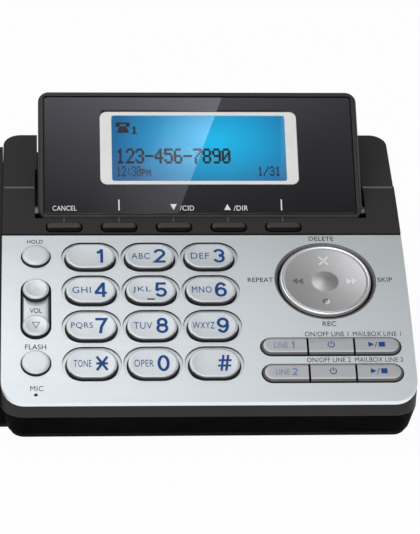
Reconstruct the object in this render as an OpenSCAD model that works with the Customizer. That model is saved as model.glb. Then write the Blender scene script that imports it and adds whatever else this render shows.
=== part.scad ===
// Desk base of a two-line cordless telephone: keypad panel, tilting display and charging cradle.
// Millimetres, +Z up. The origin is on the table, under the middle of the whole unit.

/* [Base] */
// Width of the keypad base, without the cradle
base_w = 135.8; // [135:0.2:140]
// Depth of the base from front to back
base_d = 121.7; // [121:0.1:125]
// Height of the panel's top edge at the front
front_h = 16.1; // [15.5:0.1:18]
// Radius of the arched panel
arch_r = 369; // [350:1:400]
// Slope of the panel at its middle, in degrees
mid_slope = 20.58; // [20:0.02:21]
// Length of the panel from its middle to the front edge
panel_front = 34.7; // [34.5:0.1:35.5]
// Length of the panel from its middle to its rear edge
panel_rear = 36; // [35.8:0.1:36.2]
// Length from the panel's middle to the step in the deck
crease_u = 60.7; // [59:0.1:62]
// Drop of the rear deck at the step
step_h = 1.3; // [0.8:0.1:2]
// Slope of the rear deck, in degrees
rear_slope = 9.7; // [8:0.1:11]
// Rounding of the deck's edge at the step
crease_round = 4; // [3.8:0.1:4.2]
// Corner radius at the front, seen from above
corner_front = 7.7; // [7:0.1:9]
// Corner radius at the rear, seen from above
corner_rear = 6; // [5.8:0.1:7]
// Wall of the housings
wall = 2.2; // [2:0.1:2.4]
// Height of the joint between top housing and bottom case
split_h = 10.5; // [10:0.1:11]
// Height of the case floor over the table
foot_h = 0.9; // [0.8:0.1:1.2]
// Height of the lower, steeper part of the undercut
chin_h = 2.2; // [1.8:0.1:2.6]
// How far the bottom case draws in at the chin
chin_inset = 1.9; // [1.7:0.1:2.2]
// How far the bottom case draws in at the table
floor_inset = 3.3; // [3:0.1:3.6]

/* [Faceplate] */
// Thickness of the silver faceplate
plate_t = 1.2; // [1:0.1:1.4]
// Thickness of the housing under the faceplate
deck_t = 1.8; // [1.6:0.1:2]
// Width of the groove between faceplate and deck
seam = 0.9; // [0.6:0.1:1]

/* [Keys] */
// Place of the first dial key column from the base's middle
col_x = -38.3; // [-38.5:0.1:-38]
// Spacing of the dial key columns
col_pitch = 20; // [19.8:0.1:20.2]
// Place of the first dial key row from the panel's middle
row_u = 25.2; // [25:0.1:25.4]
// Spacing of the dial key rows along the panel
row_pitch = 15.17; // [15:0.01:15.3]
// Length of the straight part of a dial key
key_l = 5.3; // [5.2:0.1:5.4]
// Width of a dial key
key_w = 11.5; // [11.3:0.1:11.5]
// Width of a dial key's top
key_top = 11.1; // [10.8:0.1:11.2]
// Height of the keys over the panel
key_rise = 1.3; // [1:0.1:1.6]
// Length of the straight part of the well around a dial key
well_l = 5.9; // [5.8:0.1:6]
// Width of the well around a dial key
well_w = 13.6; // [13.5:0.1:13.7]
// How far the well reaches to the rear of its key's middle
well_off = 0.6; // [0.5:0.05:0.6]
// Depth of the wells
well_deep = 0.7; // [0.4:0.1:0.7]
// Travel of the panel keys
key_travel = 1.2; // [1:0.1:1.3]
// Gap around a sliding key
slide_gap = 0.35; // [0.3:0.01:0.35]
// Width of the flange that holds a key under the panel
flange_w = 0.75; // [0.7:0.05:0.8]
// Thickness of that flange
flange_t = 1; // [0.9:0.1:1.1]
// Radius of a key's stem
stem_r = 2.4; // [2:0.1:2.5]
// Place of the left key column from the base's middle
side_x = -56.5; // [-56.6:0.1:-56.4]
// Radius of the round keys
round_r = 4.7; // [4.6:0.05:4.8]
// Place of the hold key along the panel
hold_u = 25.9; // [25.6:0.1:26.2]
// Place of the flash key along the panel
flash_u = -19.5; // [-20:0.1:-19.2]
// Place of the volume rocker along the panel
rocker_u = 3; // [2.8:0.1:3.2]
// Length of the rocker's straight part
rocker_l = 15.5; // [15.3:0.1:15.7]
// Width of the rocker
rocker_w = 9.5; // [9.4:0.1:9.6]
// Depth of the rocker's bridge under the panel
bridge_deep = 1; // [0.8:0.1:1.1]
// Radius of the rocker's trunnions
trunnion_r = 0.8; // [0.7:0.05:0.85]
// Greatest tilt of the rocker, in degrees
rocker_tilt = 3; // [2:0.5:3]

/* [Message disc] */
// Place of the disc across the base
disc_x = 40.4; // [40.2:0.1:40.6]
// Place of the disc along the panel
disc_u = 15.1; // [15:0.1:15.3]
// Radius of the disc
disc_r = 15.3; // [15.2:0.1:15.4]
// Radius of the disc's hole in the faceplate
disc_hole_r = 17.1; // [17:0.1:17.2]
// Radius of the disc's dished face
face_r = 14.2; // [14:0.1:14.3]
// Height of the disc's rim over the panel
disc_rise = 0.4; // [0.3:0.05:0.5]
// Depth of the disc's dished face
disc_dish = 0.9; // [0.7:0.1:1.1]
// Radius of the knob in the disc's middle
knob_r = 4.3; // [4:0.1:4.6]
// Height of that knob over the bottom of the dish
knob_h = 0.7; // [0.5:0.05:0.8]
// Radius of the pivot under the disc
pivot_r = 3.2; // [3:0.1:3.4]

/* [Line keys] */
// Middle of the line key rows across the base
line_x = 40.3; // [40.2:0.1:40.4]
// Place of the first line key row along the panel
line1_u = -13.25; // [-13.3:0.05:-13.2]
// Place of the second line key row along the panel
line2_u = -23.8; // [-23.85:0.05:-23.75]
// Length of a line key row
line_l = 46.1; // [45.9:0.1:46.3]
// Width of a line key at the panel
line_w = 6.9; // [6.8:0.1:7]
// Width of a line key's top
line_top = 4.9; // [4.7:0.1:5.2]
// Height of the line keys over the panel
line_rise = 1; // [0.8:0.1:1.2]
// Width of the slits between line keys
slit = 0.6; // [0.5:0.05:0.7]

/* [Soft keys] */
// Place of the first soft key across the base
soft_x = -46.9; // [-47:0.1:-46.8]
// Spacing of the soft keys
soft_pitch = 18.68; // [18.6:0.02:18.8]
// Place of the soft keys along the deck
soft_u = 40; // [39.9:0.05:40.05]
// Length of a soft key
soft_l = 11.8; // [11.5:0.1:12]
// Width of a soft key
soft_w = 4.2; // [4.1:0.1:4.4]
// Corner radius of a soft key
soft_round = 1.6; // [1.4:0.1:1.8]
// How far a soft key draws in at its top
soft_inset = 0.7; // [0.5:0.1:0.8]
// Height of the soft keys over the deck
soft_rise = 0.9; // [0.7:0.1:1.1]
// Travel of the soft keys
soft_travel = 0.8; // [0.6:0.1:0.8]

/* [Display] */
// Width of the display
disp_w = 111.3; // [110.8:0.1:111.4]
// Length of the display's face
disp_l = 48.8; // [48:0.1:49.5]
// Thickness of the display
disp_t = 10; // [9.8:0.1:10.2]
// Side offset of the display in its recess
disp_off = -0.1; // [-0.1:0.05:0]
// Tilt of the display's face as shown, in degrees
disp_tilt = 34.3; // [33:0.1:36]
// Slope of the display's face when folded, in degrees
fold_slope = 10.5; // [10.5:0.1:12]
// Distance of the hinge from the display's lower edge
hinge_s = 4; // [3.9:0.05:4.1]
// Place of the hinge along the deck
hinge_u = 50.75; // [50.7:0.05:50.9]
// Depth of the hinge under the deck
hinge_deep = 2.83; // [2.7:0.05:2.9]
// Radius of the hinge pins
pin_r = 2; // [1.8:0.1:2.1]
// Gap around the moving display
disp_gap = 0.35; // [0.35:0.05:0.5]
// Half the width of the display recess
recess_hw = 56.1; // [56.1:0.05:56.4]
// Rim of the display shell beside the lens
rim_w = 1.9; // [1.8:0.1:2.2]
// Rim of the display shell over the lens
rim_top = 1.8; // [1.7:0.1:2]
// Thickness of the lens
lens_t = 1.5; // [1.4:0.1:1.6]
// Width of the groove around the lens
lens_groove = 0.5; // [0.4:0.05:0.6]
// Corner radius of the display
disp_round = 3.8; // [3.4:0.1:4.2]
// Width of the white LCD frame
frame_w = 68.5; // [68:0.1:69]
// Height of the white LCD frame
frame_h = 28.4; // [28:0.1:29]
// Width of the LCD window
window_w = 60.4; // [60:0.1:61]
// Height of the LCD window
window_h = 25.7; // [25.2:0.1:26]
// Middle of the LCD from the display's lower edge
lcd_s = 26.5; // [26.3:0.1:26.7]

/* [Cradle] */
// Width of the charging cradle section
cradle_w = 66; // [65:0.5:70]
// How far the cradle stays behind the base's front
cradle_front = 6; // [5:0.5:8]
// How far the cradle stays before the base's rear
cradle_rear = 7; // [6:0.5:8]
// Drop of the cradle's top under the base's arch
cradle_drop = 1; // [0.5:0.1:1.5]
// Width of the handset pocket
pocket_w = 50; // [48:0.5:51]
// Depth of the handset pocket, front to back
pocket_d = 29; // [28:0.5:30]
// Corner radius of the pocket
pocket_r = 8; // [7:0.5:9]
// Lean of the pocket, in degrees
pocket_lean = 12; // [10:0.5:14]
// Height of the pocket's floor over the table
pocket_z = 19; // [18:0.5:20]
// Place of the pocket from the unit's middle, front to back
pocket_y = -3; // [-5:0.5:0]

/* [Inside] */
// Distance of the main board under the panel's middle
board_drop = 8.4; // [8.3:0.05:8.6]
// Thickness of the boards
board_t = 1.6; // [1.5:0.1:1.7]
// Height of a dome switch
dome_h = 0.7; // [0.6:0.05:0.75]
// Radius of a dome switch
dome_r = 2.2; // [2:0.1:2.3]
// Gap left over a dome at full travel
press_gap = 0.35; // [0.3:0.05:0.4]
// Radius of the screw shanks
screw_r = 1.4; // [1.3:0.05:1.45]
// Radius of the loudspeaker
speaker_r = 17; // [16:0.5:18]
// Width of a line socket
jack_w = 12; // [11.6:0.1:12.4]
// Height of a line socket
jack_h = 12; // [11.6:0.1:12.4]
// Height of the sockets' middle over the table
jack_z = 24; // [23:0.5:26]

/* [Hidden] */
$fn = 96;
arch_fn = 1440;
far = 100;
eps = 0.01;
fit = 0.1;
joint_gap = 0.15;
cut_low = -5;
cut_high = 3;
margin = 4;
floor_t = 2;
skirt = 0.1;
base_x = cradle_w / 2;
half_w = base_w / 2;
y_front = -base_d / 2;
y_rear = base_d / 2;
arch_y = y_front + arch_r * sin(angle_at(-panel_front));
arch_z = front_h - arch_r * cos(angle_at(-panel_front));
under_plate = plate_t + deck_t;
crease_y = arch_y - arch_r * sin(angle_at(crease_u));
crease_z = arch_z + arch_r * cos(angle_at(crease_u));
edge_a = angle_at(crease_u - crease_round / 5);
edge_y = arch_y - (arch_r - crease_round) * sin(edge_a);
edge_z = arch_z + (arch_r - crease_round) * cos(edge_a);
rear_z = crease_z - step_h + (y_rear - crease_y) * tan(rear_slope);
case_floor = foot_h + floor_t;
run_gap = 0.3;
flange_z = -plate_t - run_gap;
flange_low = flange_z - flange_t;
key_taper = 0.3;
trunnion_z = -plate_t - slide_gap - trunnion_r;
trunnion_l = 13.6;
bridge_round = 0.8;
stem_root = 1;
pad_dish = 0.25;
rocker_tip = tip_z(rocker_u, rocker_l / 2 * sin(rocker_tilt));
window_gap = 0.95;
window_low = -28.4;
window_high = 33.2;
rim_r = (disc_r - face_r) / 2;
face_edge = disc_rise - run_gap;
dish_z = face_edge - disc_dish;
dish_ball = (face_r * face_r + disc_dish * disc_dish) / (2 * disc_dish);
knob_up = knob_h - knob_r * knob_r / (2 * dish_ball);
knob_ball = (knob_r * knob_r + knob_up * knob_up) / (2 * knob_up);
collar_r = disc_r + 0.75;
collar_deep = 1;
collar_flare = 0.75;
collar_sink = 0.1;
disc_flange_r = collar_r + 0.7;
disc_flange_t = 0.6;
disc_flange_z = -5.25;
disc_boss_r = 4;
disc_boss_z = -5.55;
disc_stem_x = 11;
disc_stem_r = 1.5;
disc_stem_z = -6.1;
pivot_seat = 0.4;
pivot_z = pivot_seat - board_drop + disc_u * disc_u / (2 * arch_r);
soft_ledge = 1;
soft_dome = 1.2;
row_line = [line1_u, line2_u];
line_step = line_l / 3;
hinge_y = arch_y - (arch_r - hinge_deep) * sin(angle_at(hinge_u));
hinge_z = arch_z + (arch_r - hinge_deep) * cos(angle_at(hinge_u));
barrel_r = sqrt(hinge_s * hinge_s + disp_t * disp_t / 4);
recess_r = barrel_r + disp_gap;
lip_t = 1.4;
recess_side = 2.2;
recess_niche = 0.75;
niche_run = 21;
niche_y = hinge_y + niche_run;
disp_top = disp_l - hinge_s;
face_z = disp_t / 2;
lens_z = face_z - lens_t;
back_t = 1.6;
disp_floor = back_t - face_z;
lens_low = 0.55 - hinge_s;
lens_foot = 0.6;
lens_round = 1;
disp_edge = 0.6;
shell_low = barrel_r + 0.2;
shell_box = [-disp_w / 2, disp_w / 2, -shell_low, disp_top, shell_low, disp_round];
lens_high = disp_top - rim_top;
lens_hw = disp_w / 2 - rim_w;
ledge = 2.6;
cavity_low = 4.6;
cavity_high = lens_high - 1;
lcd_y = lcd_s - hinge_s;
lcd_lip = 2;
lcd_round = 2.4;
lcd_seat = 1;
lcd_t = 1.6;
glass_edge = 2;
glass_round = 0.5;
light_edge = 1;
light_rise = 1.5;
window_round = 0.7;
disp_board_t = 1.2;
disp_board_x = 20;
pin_in = 3.5;
pin_out = 4.5;
pin_end = 0.6;
cradle_x = -half_w - cradle_w / 2;
cradle_hw = cradle_w / 2 - joint_gap / 2;
cradle_mid = cradle_x - joint_gap / 2;
cradle_y0 = y_front + cradle_front;
cradle_y1 = y_rear - cradle_rear;
cradle_round = 9;
base_box = [-half_w, half_w, y_front, y_rear, corner_front, corner_rear];
cradle_box = [cradle_mid - cradle_hw, cradle_mid + cradle_hw, cradle_y0, cradle_y1,
              cradle_round, cradle_round];
tray_box = [cradle_mid - cradle_hw, 2 * cradle_round - half_w, cradle_y0, cradle_y1,
            cradle_round, cradle_round];
contact_x = 9;
contact_w = 2.4;
contact_slot = 7;
contact_foot = 6;
contact_t = 0.5;
contact_up = 1.6;
boss_r = 3.3;
boss_z = 10;
head_r = 2.6;
head_h = 2;
head_z = case_floor + head_h;
slot_l = 3.6;
slot_w = 0.8;
slot_deep = 1;
screw_l = 14;
screw_hole = 12;
base_screws = [[-50, 22], [50, 22], [-50, 50], [50, 50]];
cradle_screws = [[-22, -44], [22, -44], [-22, 43], [22, 43]];
board_front = -27;
board_rear = 41.2;
board_hw = 59.3;
board_posts = [[16.6, 28], [61.6, 31.5], [-24, 35], [16.6, -3]];
post_r = 1.9;
post_screw_r = 0.8;
post_screw_l = 4;
post_hole = 4.5;
post_head_r = 1.8;
post_head_h = 1;
foot_r = 6;
foot_seat = 0.6;
foot_edge = 0.5;
foot_spots = [[-50, -46], [50, -46], [-38, 48], [38, 48]];
cradle_feet = [-26, 22];
speaker_x = 18;
speaker_y = 34;
speaker_h = 8;
cone_edge = 3;
cone_r = speaker_r - cone_edge;
cone_h = 3;
cap_r = 5;
basket_rim = 2;
basket_h = 4.5;
magnet_r = 9;
socket_x = [10, 30];
socket_flange = 1.5;
socket_deep = 10;
socket_back = 2;
dc_x = -12;
dc_w = 10;
dc_bore = 2.75;
plug_w = 9.8;
plug_h = 6.8;
plug_z = -2.6;
latch_w = 6.4;
latch_h = 3;
latch_z = -4.2;
dc_pin_r = 0.65;
shield_x = 24;
shield_u = 4;
shield_w = 24;
shield_l = 20;
shield_h = 2.6;
grille_step = 5;
grille_l = 20;
grille_w = 2;
lug_x = 34;
lug_w = 14;
lug_z = 6;
lug_up = 3;
mic_u = -31.6;
mic_r = 1.5;
mic_hole = 0.6;
mic_h = 2;

// Slope of the arch at a length u behind the panel's middle.
function angle_at(u) = mid_slope - u / arch_r * 180 / PI;
// Lowest point of a key's stem at u, so that it stops just over its dome.
function tip_z(u, travel) = -board_drop + dome_h + press_gap + travel + u * u / (2 * arch_r);
function row_at(row) = row_u - row * row_pitch;
function col_at(col) = col_x + col * col_pitch;
function soft_at(n) = soft_x + n * soft_pitch;
// Place of the step between two line keys.
function slit_at(n) = line_x - line_l / 2 + n * line_step;

// Frame on the arch: x across, y along the surface, z out of it.
module on_arch(x, u) {
    translate([base_x + x, arch_y, arch_z])
        rotate([angle_at(u), 0, 0])
            translate([0, 0, arch_r]) children();
}

// A side profile (y, z) drawn out across the base.
module across(w) {
    translate([base_x, 0, 0])
        rotate([90, 0, 90])
            linear_extrude(w, center = true) children();
}

// Frame on the display's hinge, y up the face and z out of it.
module on_display() {
    translate([base_x + disp_off, hinge_y, hinge_z])
        rotate([disp_tilt, 0, 0]) children();
}

module stadium(l, w) {
    square([l, w], center = true);
    for (s = [-1, 1])
        translate([s * l / 2, 0]) circle(d = w);
}

module stadium_solid(l, w, z0, z1) {
    translate([0, 0, z0])
        linear_extrude(z1 - z0) stadium(l, w);
}

// Stadium whose width goes from w0 at z0 to w1 at z1.
module stadium_taper(l, w0, w1, z0, z1) {
    for (s = [-1, 1])
        translate([s * l / 2, 0, z0]) cylinder(d1 = w0, d2 = w1, h = z1 - z0);
    rotate([90, 0, 90])
        linear_extrude(l, center = true)
            polygon([[-w0 / 2, z0], [w0 / 2, z0], [w1 / 2, z1], [-w1 / 2, z1]]);
}

module rounded(w, h, r) {
    square([w - 2 * r, h], center = true);
    square([w, h - 2 * r], center = true);
    for (sx = [-1, 1])
        for (sy = [-1, 1])
            translate([sx * (w / 2 - r), sy * (h / 2 - r)]) circle(r = r);
}

module plate(w, h, r, z0, z1) {
    translate([0, 0, z0])
        linear_extrude(z1 - z0) rounded(w, h, r);
}

// Outline from above of a box [x0, x1, y0, y1, front radius, rear radius], drawn in by i.
module plan(b, i) {
    for (x = [b[0] + b[4], b[1] - b[4]])
        translate([x, b[2] + b[4]]) circle(r = b[4] - i);
    for (x = [b[0] + b[5], b[1] - b[5]])
        translate([x, b[3] - b[5]]) circle(r = b[5] - i);
    translate([b[0] + i, b[2] + b[4]])
        square([b[1] - b[0] - 2 * i, b[3] - b[2] - b[4] - b[5]]);
    translate([b[0] + b[4], b[2] + i])
        square([b[1] - b[0] - 2 * b[4], -b[2] - i]);
    translate([b[0] + b[5], 0])
        square([b[1] - b[0] - 2 * b[5], b[3] - i]);
}

// Side profile of the base, drawn in by d at the top: arch, round edge and rear deck.
module base_side(d) {
    turn_y = arch_y - (arch_r - d) * sin(edge_a);
    low_y = crease_y - crease_round;
    intersection() {
        translate([arch_y, arch_z]) circle(r = arch_r - d, $fn = arch_fn);
        translate([y_front - far, 0]) square([far + turn_y - y_front, far]);
    }
    translate([edge_y, edge_z]) circle(r = crease_round - d);
    polygon([[low_y, 0], [y_rear + far, 0],
             [y_rear + far, rear_z - d + far * tan(rear_slope)],
             [low_y, crease_z - step_h - d - crease_round * tan(rear_slope)]]);
}

// Side profile (y, z) under the arch, drawn in by d.
module arch_side(d) {
    intersection() {
        translate([arch_y, arch_z]) circle(r = arch_r - d, $fn = arch_fn);
        translate([y_front - far, 0]) square([2 * far + base_d, far]);
    }
}

// Ring sector (y, z) of the arch between two radii, over the lengths u0 to u1.
module arch_ring(r0, r1, u0, u1) {
    reach = 2 * arch_r;
    translate([arch_y, arch_z])
        intersection() {
            difference() {
                circle(r = r1, $fn = arch_fn);
                circle(r = r0, $fn = arch_fn);
            }
            polygon([[0, 0],
                     [-reach * sin(angle_at(u1)), reach * cos(angle_at(u1))],
                     [-reach * sin(angle_at(u0)), reach * cos(angle_at(u0))]]);
        }
}

// Tapered body over a box's outline, drawn in by i0 at z0 and by i1 at z1.
module taper(b, i0, z0, i1, z1) {
    h = z1 - z0;
    for (x = [b[0] + b[4], b[1] - b[4]])
        translate([x, b[2] + b[4], z0]) cylinder(r1 = b[4] - i0, r2 = b[4] - i1, h = h);
    for (x = [b[0] + b[5], b[1] - b[5]])
        translate([x, b[3] - b[5], z0]) cylinder(r1 = b[5] - i0, r2 = b[5] - i1, h = h);
    translate([0, b[3] - b[5], 0])
        rotate([90, 0, 0])
            linear_extrude(b[3] - b[2] - b[4] - b[5])
                polygon([[b[0] + i0, z0], [b[1] - i0, z0], [b[1] - i1, z1], [b[0] + i1, z1]]);
    translate([b[0] + b[4], 0, 0])
        rotate([90, 0, 90])
            linear_extrude(b[1] - b[0] - 2 * b[4])
                polygon([[b[2] + i0, z0], [0, z0], [0, z1], [b[2] + i1, z1]]);
    translate([b[0] + b[5], 0, 0])
        rotate([90, 0, 90])
            linear_extrude(b[1] - b[0] - 2 * b[5])
                polygon([[0, z0], [b[3] - i0, z0], [b[3] - i1, z1], [0, z1]]);
}

// Outside of a tray with a chin, over a box's outline.
module tray(b) {
    taper(b, floor_inset, foot_h, chin_inset, foot_h + chin_h);
    taper(b, chin_inset, foot_h + chin_h, 0, split_h);
}

// Side profile of the room for the display, grown by g around the hinge and by f under the floor.
module recess_side_view(g, f) {
    translate([hinge_y, hinge_z]) {
        circle(r = recess_r + g);
        rotate(fold_slope)
            translate([0, -disp_t / 2 - disp_gap - f]) square([far, far]);
    }
}

module screw_spots() {
    for (p = base_screws)
        translate([base_x + p[0], p[1], 0]) children();
    for (p = cradle_screws)
        translate([base_x + cradle_mid + p[0], p[1], 0]) children();
}

module foot_places() {
    for (p = foot_spots)
        translate([base_x + p[0], p[1], 0]) children();
    for (y = cradle_feet)
        translate([base_x + cradle_mid - cradle_w / 4, y, 0]) children();
}

// Outline of the cradle from above: round on its free side, square beside the base.
module cradle_plan(i) {
    plan(cradle_box, i);
    translate([cradle_mid, cradle_y0 + i])
        square([cradle_hw - i, cradle_y1 - cradle_y0 - 2 * i]);
}

// Frame on the middle of the pocket's floor, z up the leaning handset.
module in_pocket() {
    translate([base_x + cradle_mid, pocket_y, pocket_z])
        rotate([-pocket_lean, 0, 0]) children();
}

module bottom_case() {
    color([0.08, 0.08, 0.085])
        difference() {
            union() {
                difference() {
                    translate([base_x, 0, 0]) {
                        tray(base_box);
                        tray(tray_box);
                    }
                    translate([base_x, 0, 0]) {
                        taper(base_box, chin_inset + wall, case_floor, wall, split_h + eps);
                        taper(cradle_box, chin_inset + wall, case_floor, wall, split_h + eps);
                    }
                }
                screw_spots() translate([0, 0, foot_h]) cylinder(r = boss_r, h = boss_z - foot_h);
                // lugs that locate the front wall of the top housing
                for (s = [-1, 1])
                    translate([base_x + s * lug_x - lug_w / 2, y_front + wall + joint_gap, lug_z])
                        cube([lug_w, wall, split_h + lug_up - lug_z]);
            }
            screw_spots() {
                translate([0, 0, -eps]) cylinder(r = head_r + joint_gap, h = head_z + eps);
                cylinder(r = screw_r + joint_gap, h = boss_z + 1);
            }
            foot_places() cylinder(r = foot_r + fit, h = foot_h + foot_seat);
            for (n = [-2:2])
                translate([base_x + speaker_x + n * grille_step, speaker_y, 0])
                    linear_extrude(case_floor + floor_t) rotate(90) stadium(grille_l, grille_w);
        }
}

// Hole through the panel, w wide and reaching from u0 to u1, with its middle at x.
module panel_window(x, w, u0, u1) {
    on_arch(x, 0)
        translate([-w / 2, u0, -2 * under_plate]) cube([w, u1 - u0, 3 * under_plate]);
}

module panel_windows() {
    room = 2 * (flange_w + window_gap);
    panel_window(side_x, 2 * round_r + room, window_low, window_high);
    panel_window(col_at(1), 2 * col_pitch + key_l + key_w + room, window_low, window_high);
    panel_window(line_x, line_l + room, window_low, line1_u + line_w);
    on_arch(disc_x, disc_u) {
        translate([0, 0, -2 * under_plate]) cylinder(r = collar_r, h = 3 * under_plate);
        translate([0, 0, -collar_deep])
            cylinder(r1 = collar_r, r2 = collar_r + 2 * collar_flare, h = 2 * collar_deep);
    }
}

// Collar of the housing that lines the disc's hole in the faceplate.
module disc_collar() {
    intersection() {
        on_arch(disc_x, disc_u)
            translate([0, 0, deck_t / 2 - under_plate]) cylinder(r = disc_hole_r - fit, h = under_plate);
        across(base_w) arch_side(collar_sink);
    }
}

module top_housing() {
    color([0.17, 0.165, 0.17])
        difference() {
            union() {
                difference() {
                    housing_block();
                    intersection() {
                        translate([base_x, 0, 0]) linear_extrude(far) plan(base_box, wall);
                        across(base_w) base_side(under_plate);
                    }
                }
                intersection() {
                    housing_block();
                    union() {
                        across(2 * (recess_hw + recess_side)) recess_side_view(lip_t, floor_t);
                        for (p = base_screws)
                            translate([base_x + p[0], p[1], boss_z]) cylinder(r = boss_r, h = far);
                        for (s = [-1, 1])
                            translate([base_x + s * recess_hw, hinge_y, hinge_z])
                                rotate([0, s * 90, 0]) cylinder(r = 2 * pin_r, h = pin_out);
                    }
                }
                for (p = base_screws)
                    translate([base_x + p[0], p[1], boss_z]) cylinder(r = boss_r, h = split_h);
                for (p = board_posts)
                    on_arch(0, 0)
                        translate([p[0], p[1], -board_drop])
                            cylinder(r = post_r, h = board_drop - under_plate);
                disc_collar();
            }
            across(2 * recess_hw) recess_side_view(0, 0);
            // wider room beside the hinge
            across(2 * (recess_hw + recess_niche))
                intersection() {
                    recess_side_view(0, 0);
                    translate([niche_y - far, 0]) square(far);
                }
            panel_windows();
            for (n = [0:4])
                on_arch(soft_at(n), soft_u)
                    plate(soft_l + 2 * slide_gap, soft_w + 2 * slide_gap, soft_round + slide_gap,
                          cut_low, cut_high);
            // notches for the rocker's trunnions, open below
            on_arch(side_x, rocker_u)
                translate([-trunnion_l / 2 - trunnion_r, -trunnion_r - slide_gap, -2 * under_plate])
                    cube([trunnion_l + 2 * trunnion_r, 2 * (trunnion_r + slide_gap), 2 * under_plate]);
            on_arch(side_x, mic_u)
                translate([0, 0, -2 * under_plate]) cylinder(r = mic_hole + fit, h = 3 * under_plate);
            translate([base_x, hinge_y, hinge_z])
                rotate([0, 90, 0])
                    cylinder(r = pin_r + fit / 4, h = 2 * (recess_hw + pin_out) - 1, center = true);
            for (p = base_screws)
                translate([base_x + p[0], p[1], 0])
                    cylinder(r = screw_r + fit / 2, h = boss_z + screw_hole);
            for (p = board_posts)
                on_arch(0, 0)
                    translate([p[0], p[1], -board_drop - eps])
                        cylinder(r = post_screw_r + fit / 2, h = post_hole);
            for (x = socket_x)
                translate([base_x + x, y_rear, jack_z])
                    cube([jack_w + 2 * fit, 4 * wall, jack_h + 2 * fit], center = true);
            translate([base_x + dc_x, y_rear, jack_z])
                cube([dc_w + 2 * fit, 4 * wall, dc_w + 2 * fit], center = true);
        }
}

// Solid outline of the top housing, with the seat of the faceplate cut away.
module housing_block() {
    difference() {
        intersection() {
            translate([base_x, 0, split_h]) linear_extrude(far) plan(base_box, 0);
            across(base_w + margin) base_side(0);
        }
        across(base_w + 2 * margin)
            arch_ring(arch_r - plate_t, arch_r + margin, -panel_front - base_d / 4, panel_rear + seam);
    }
}

module faceplate() {
    color([0.78, 0.8, 0.81])
        difference() {
            intersection() {
                translate([base_x, 0, 0]) linear_extrude(far) plan(base_box, 0);
                across(base_w + margin)
                    arch_ring(arch_r - plate_t, arch_r, -panel_front - base_d / 4, panel_rear);
            }
            for (c = [0:2])
                for (r = [0:3])
                    on_arch(col_at(c), row_at(r)) {
                        stadium_solid(key_l, key_w + 2 * slide_gap, cut_low, cut_high);
                        translate([0, well_off, 0]) stadium_solid(well_l, well_w, -well_deep, cut_high);
                    }
            for (u = [hold_u, flash_u])
                on_arch(side_x, u)
                    translate([0, 0, cut_low]) cylinder(r = round_r + slide_gap, h = cut_high - cut_low);
            on_arch(side_x, rocker_u)
                rotate(90) stadium_solid(rocker_l, rocker_w + 2 * slide_gap, cut_low, cut_high);
            on_arch(disc_x, disc_u)
                translate([0, 0, cut_low]) cylinder(r = disc_hole_r, h = cut_high - cut_low);
            for (u = row_line)
                on_arch(line_x, u)
                    stadium_solid(line_l - line_w, line_w + 2 * slide_gap, cut_low, cut_high);
            on_arch(side_x, mic_u)
                translate([0, 0, cut_low]) cylinder(r = mic_hole, h = cut_high - cut_low);
        }
}

module charging_cradle() {
    color([0.15, 0.15, 0.155])
        difference() {
            union() {
                difference() {
                    cradle_block();
                    intersection() {
                        translate([base_x, 0, 0]) linear_extrude(far) cradle_plan(wall);
                        across(4 * far) arch_side(cradle_drop + wall);
                    }
                }
                intersection() {
                    cradle_block();
                    union() {
                        in_pocket() plate(pocket_w + 2 * floor_t, pocket_d + 2 * floor_t,
                                          pocket_r + floor_t, -floor_t, far);
                        for (p = cradle_screws)
                            translate([base_x + cradle_mid + p[0], p[1], boss_z])
                                cylinder(r = boss_r, h = far);
                    }
                }
            }
            in_pocket() plate(pocket_w, pocket_d, pocket_r, 0, far);
            for (s = [-1, 1])
                in_pocket()
                    translate([s * contact_x, 0, 0])
                        cube([contact_w + 2 * joint_gap, contact_slot, 3 * floor_t], center = true);
            for (p = cradle_screws)
                translate([base_x + cradle_mid + p[0], p[1], 0])
                    cylinder(r = screw_r + fit / 2, h = boss_z + screw_hole);
        }
}

module cradle_block() {
    intersection() {
        translate([base_x, 0, split_h]) linear_extrude(far) cradle_plan(0);
        across(4 * far) arch_side(cradle_drop);
    }
}

module dial_key(col, row) {
    u = row_at(row);
    color([0.86, 0.86, 0.85])
        on_arch(col_at(col), u) {
            stadium_solid(key_l, key_w + 2 * flange_w, flange_low, flange_z);
            stadium_solid(key_l, key_w, flange_low, key_taper);
            stadium_taper(key_l, key_w, key_top, key_taper, key_rise - key_taper);
            stadium_taper(key_l, key_top, key_top - 2 * key_taper, key_rise - key_taper, key_rise);
            translate([0, 0, tip_z(u, key_travel)])
                cylinder(r = stem_r, h = flange_z - tip_z(u, key_travel));
        }
}

module key_1() { dial_key(0, 0); }
module key_2() { dial_key(1, 0); }
module key_3() { dial_key(2, 0); }
module key_4() { dial_key(0, 1); }
module key_5() { dial_key(1, 1); }
module key_6() { dial_key(2, 1); }
module key_7() { dial_key(0, 2); }
module key_8() { dial_key(1, 2); }
module key_9() { dial_key(2, 2); }
module key_star() { dial_key(0, 3); }
module key_0() { dial_key(1, 3); }
module key_pound() { dial_key(2, 3); }

module round_key(u) {
    color([0.84, 0.84, 0.83])
        on_arch(side_x, u) {
            translate([0, 0, flange_low]) cylinder(r = round_r + flange_w, h = flange_t);
            translate([0, 0, flange_low]) cylinder(r = round_r, h = key_taper - flange_low);
            translate([0, 0, key_taper])
                cylinder(r1 = round_r, r2 = round_r - key_taper, h = key_rise - 2 * key_taper);
            translate([0, 0, key_rise - key_taper])
                cylinder(r1 = round_r - key_taper, r2 = round_r - 2 * key_taper, h = key_taper);
            translate([0, 0, tip_z(u, key_travel)])
                cylinder(r = stem_r, h = flange_z - tip_z(u, key_travel));
        }
}

module hold_key() { round_key(hold_u); }
module flash_key() { round_key(flash_u); }

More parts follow.
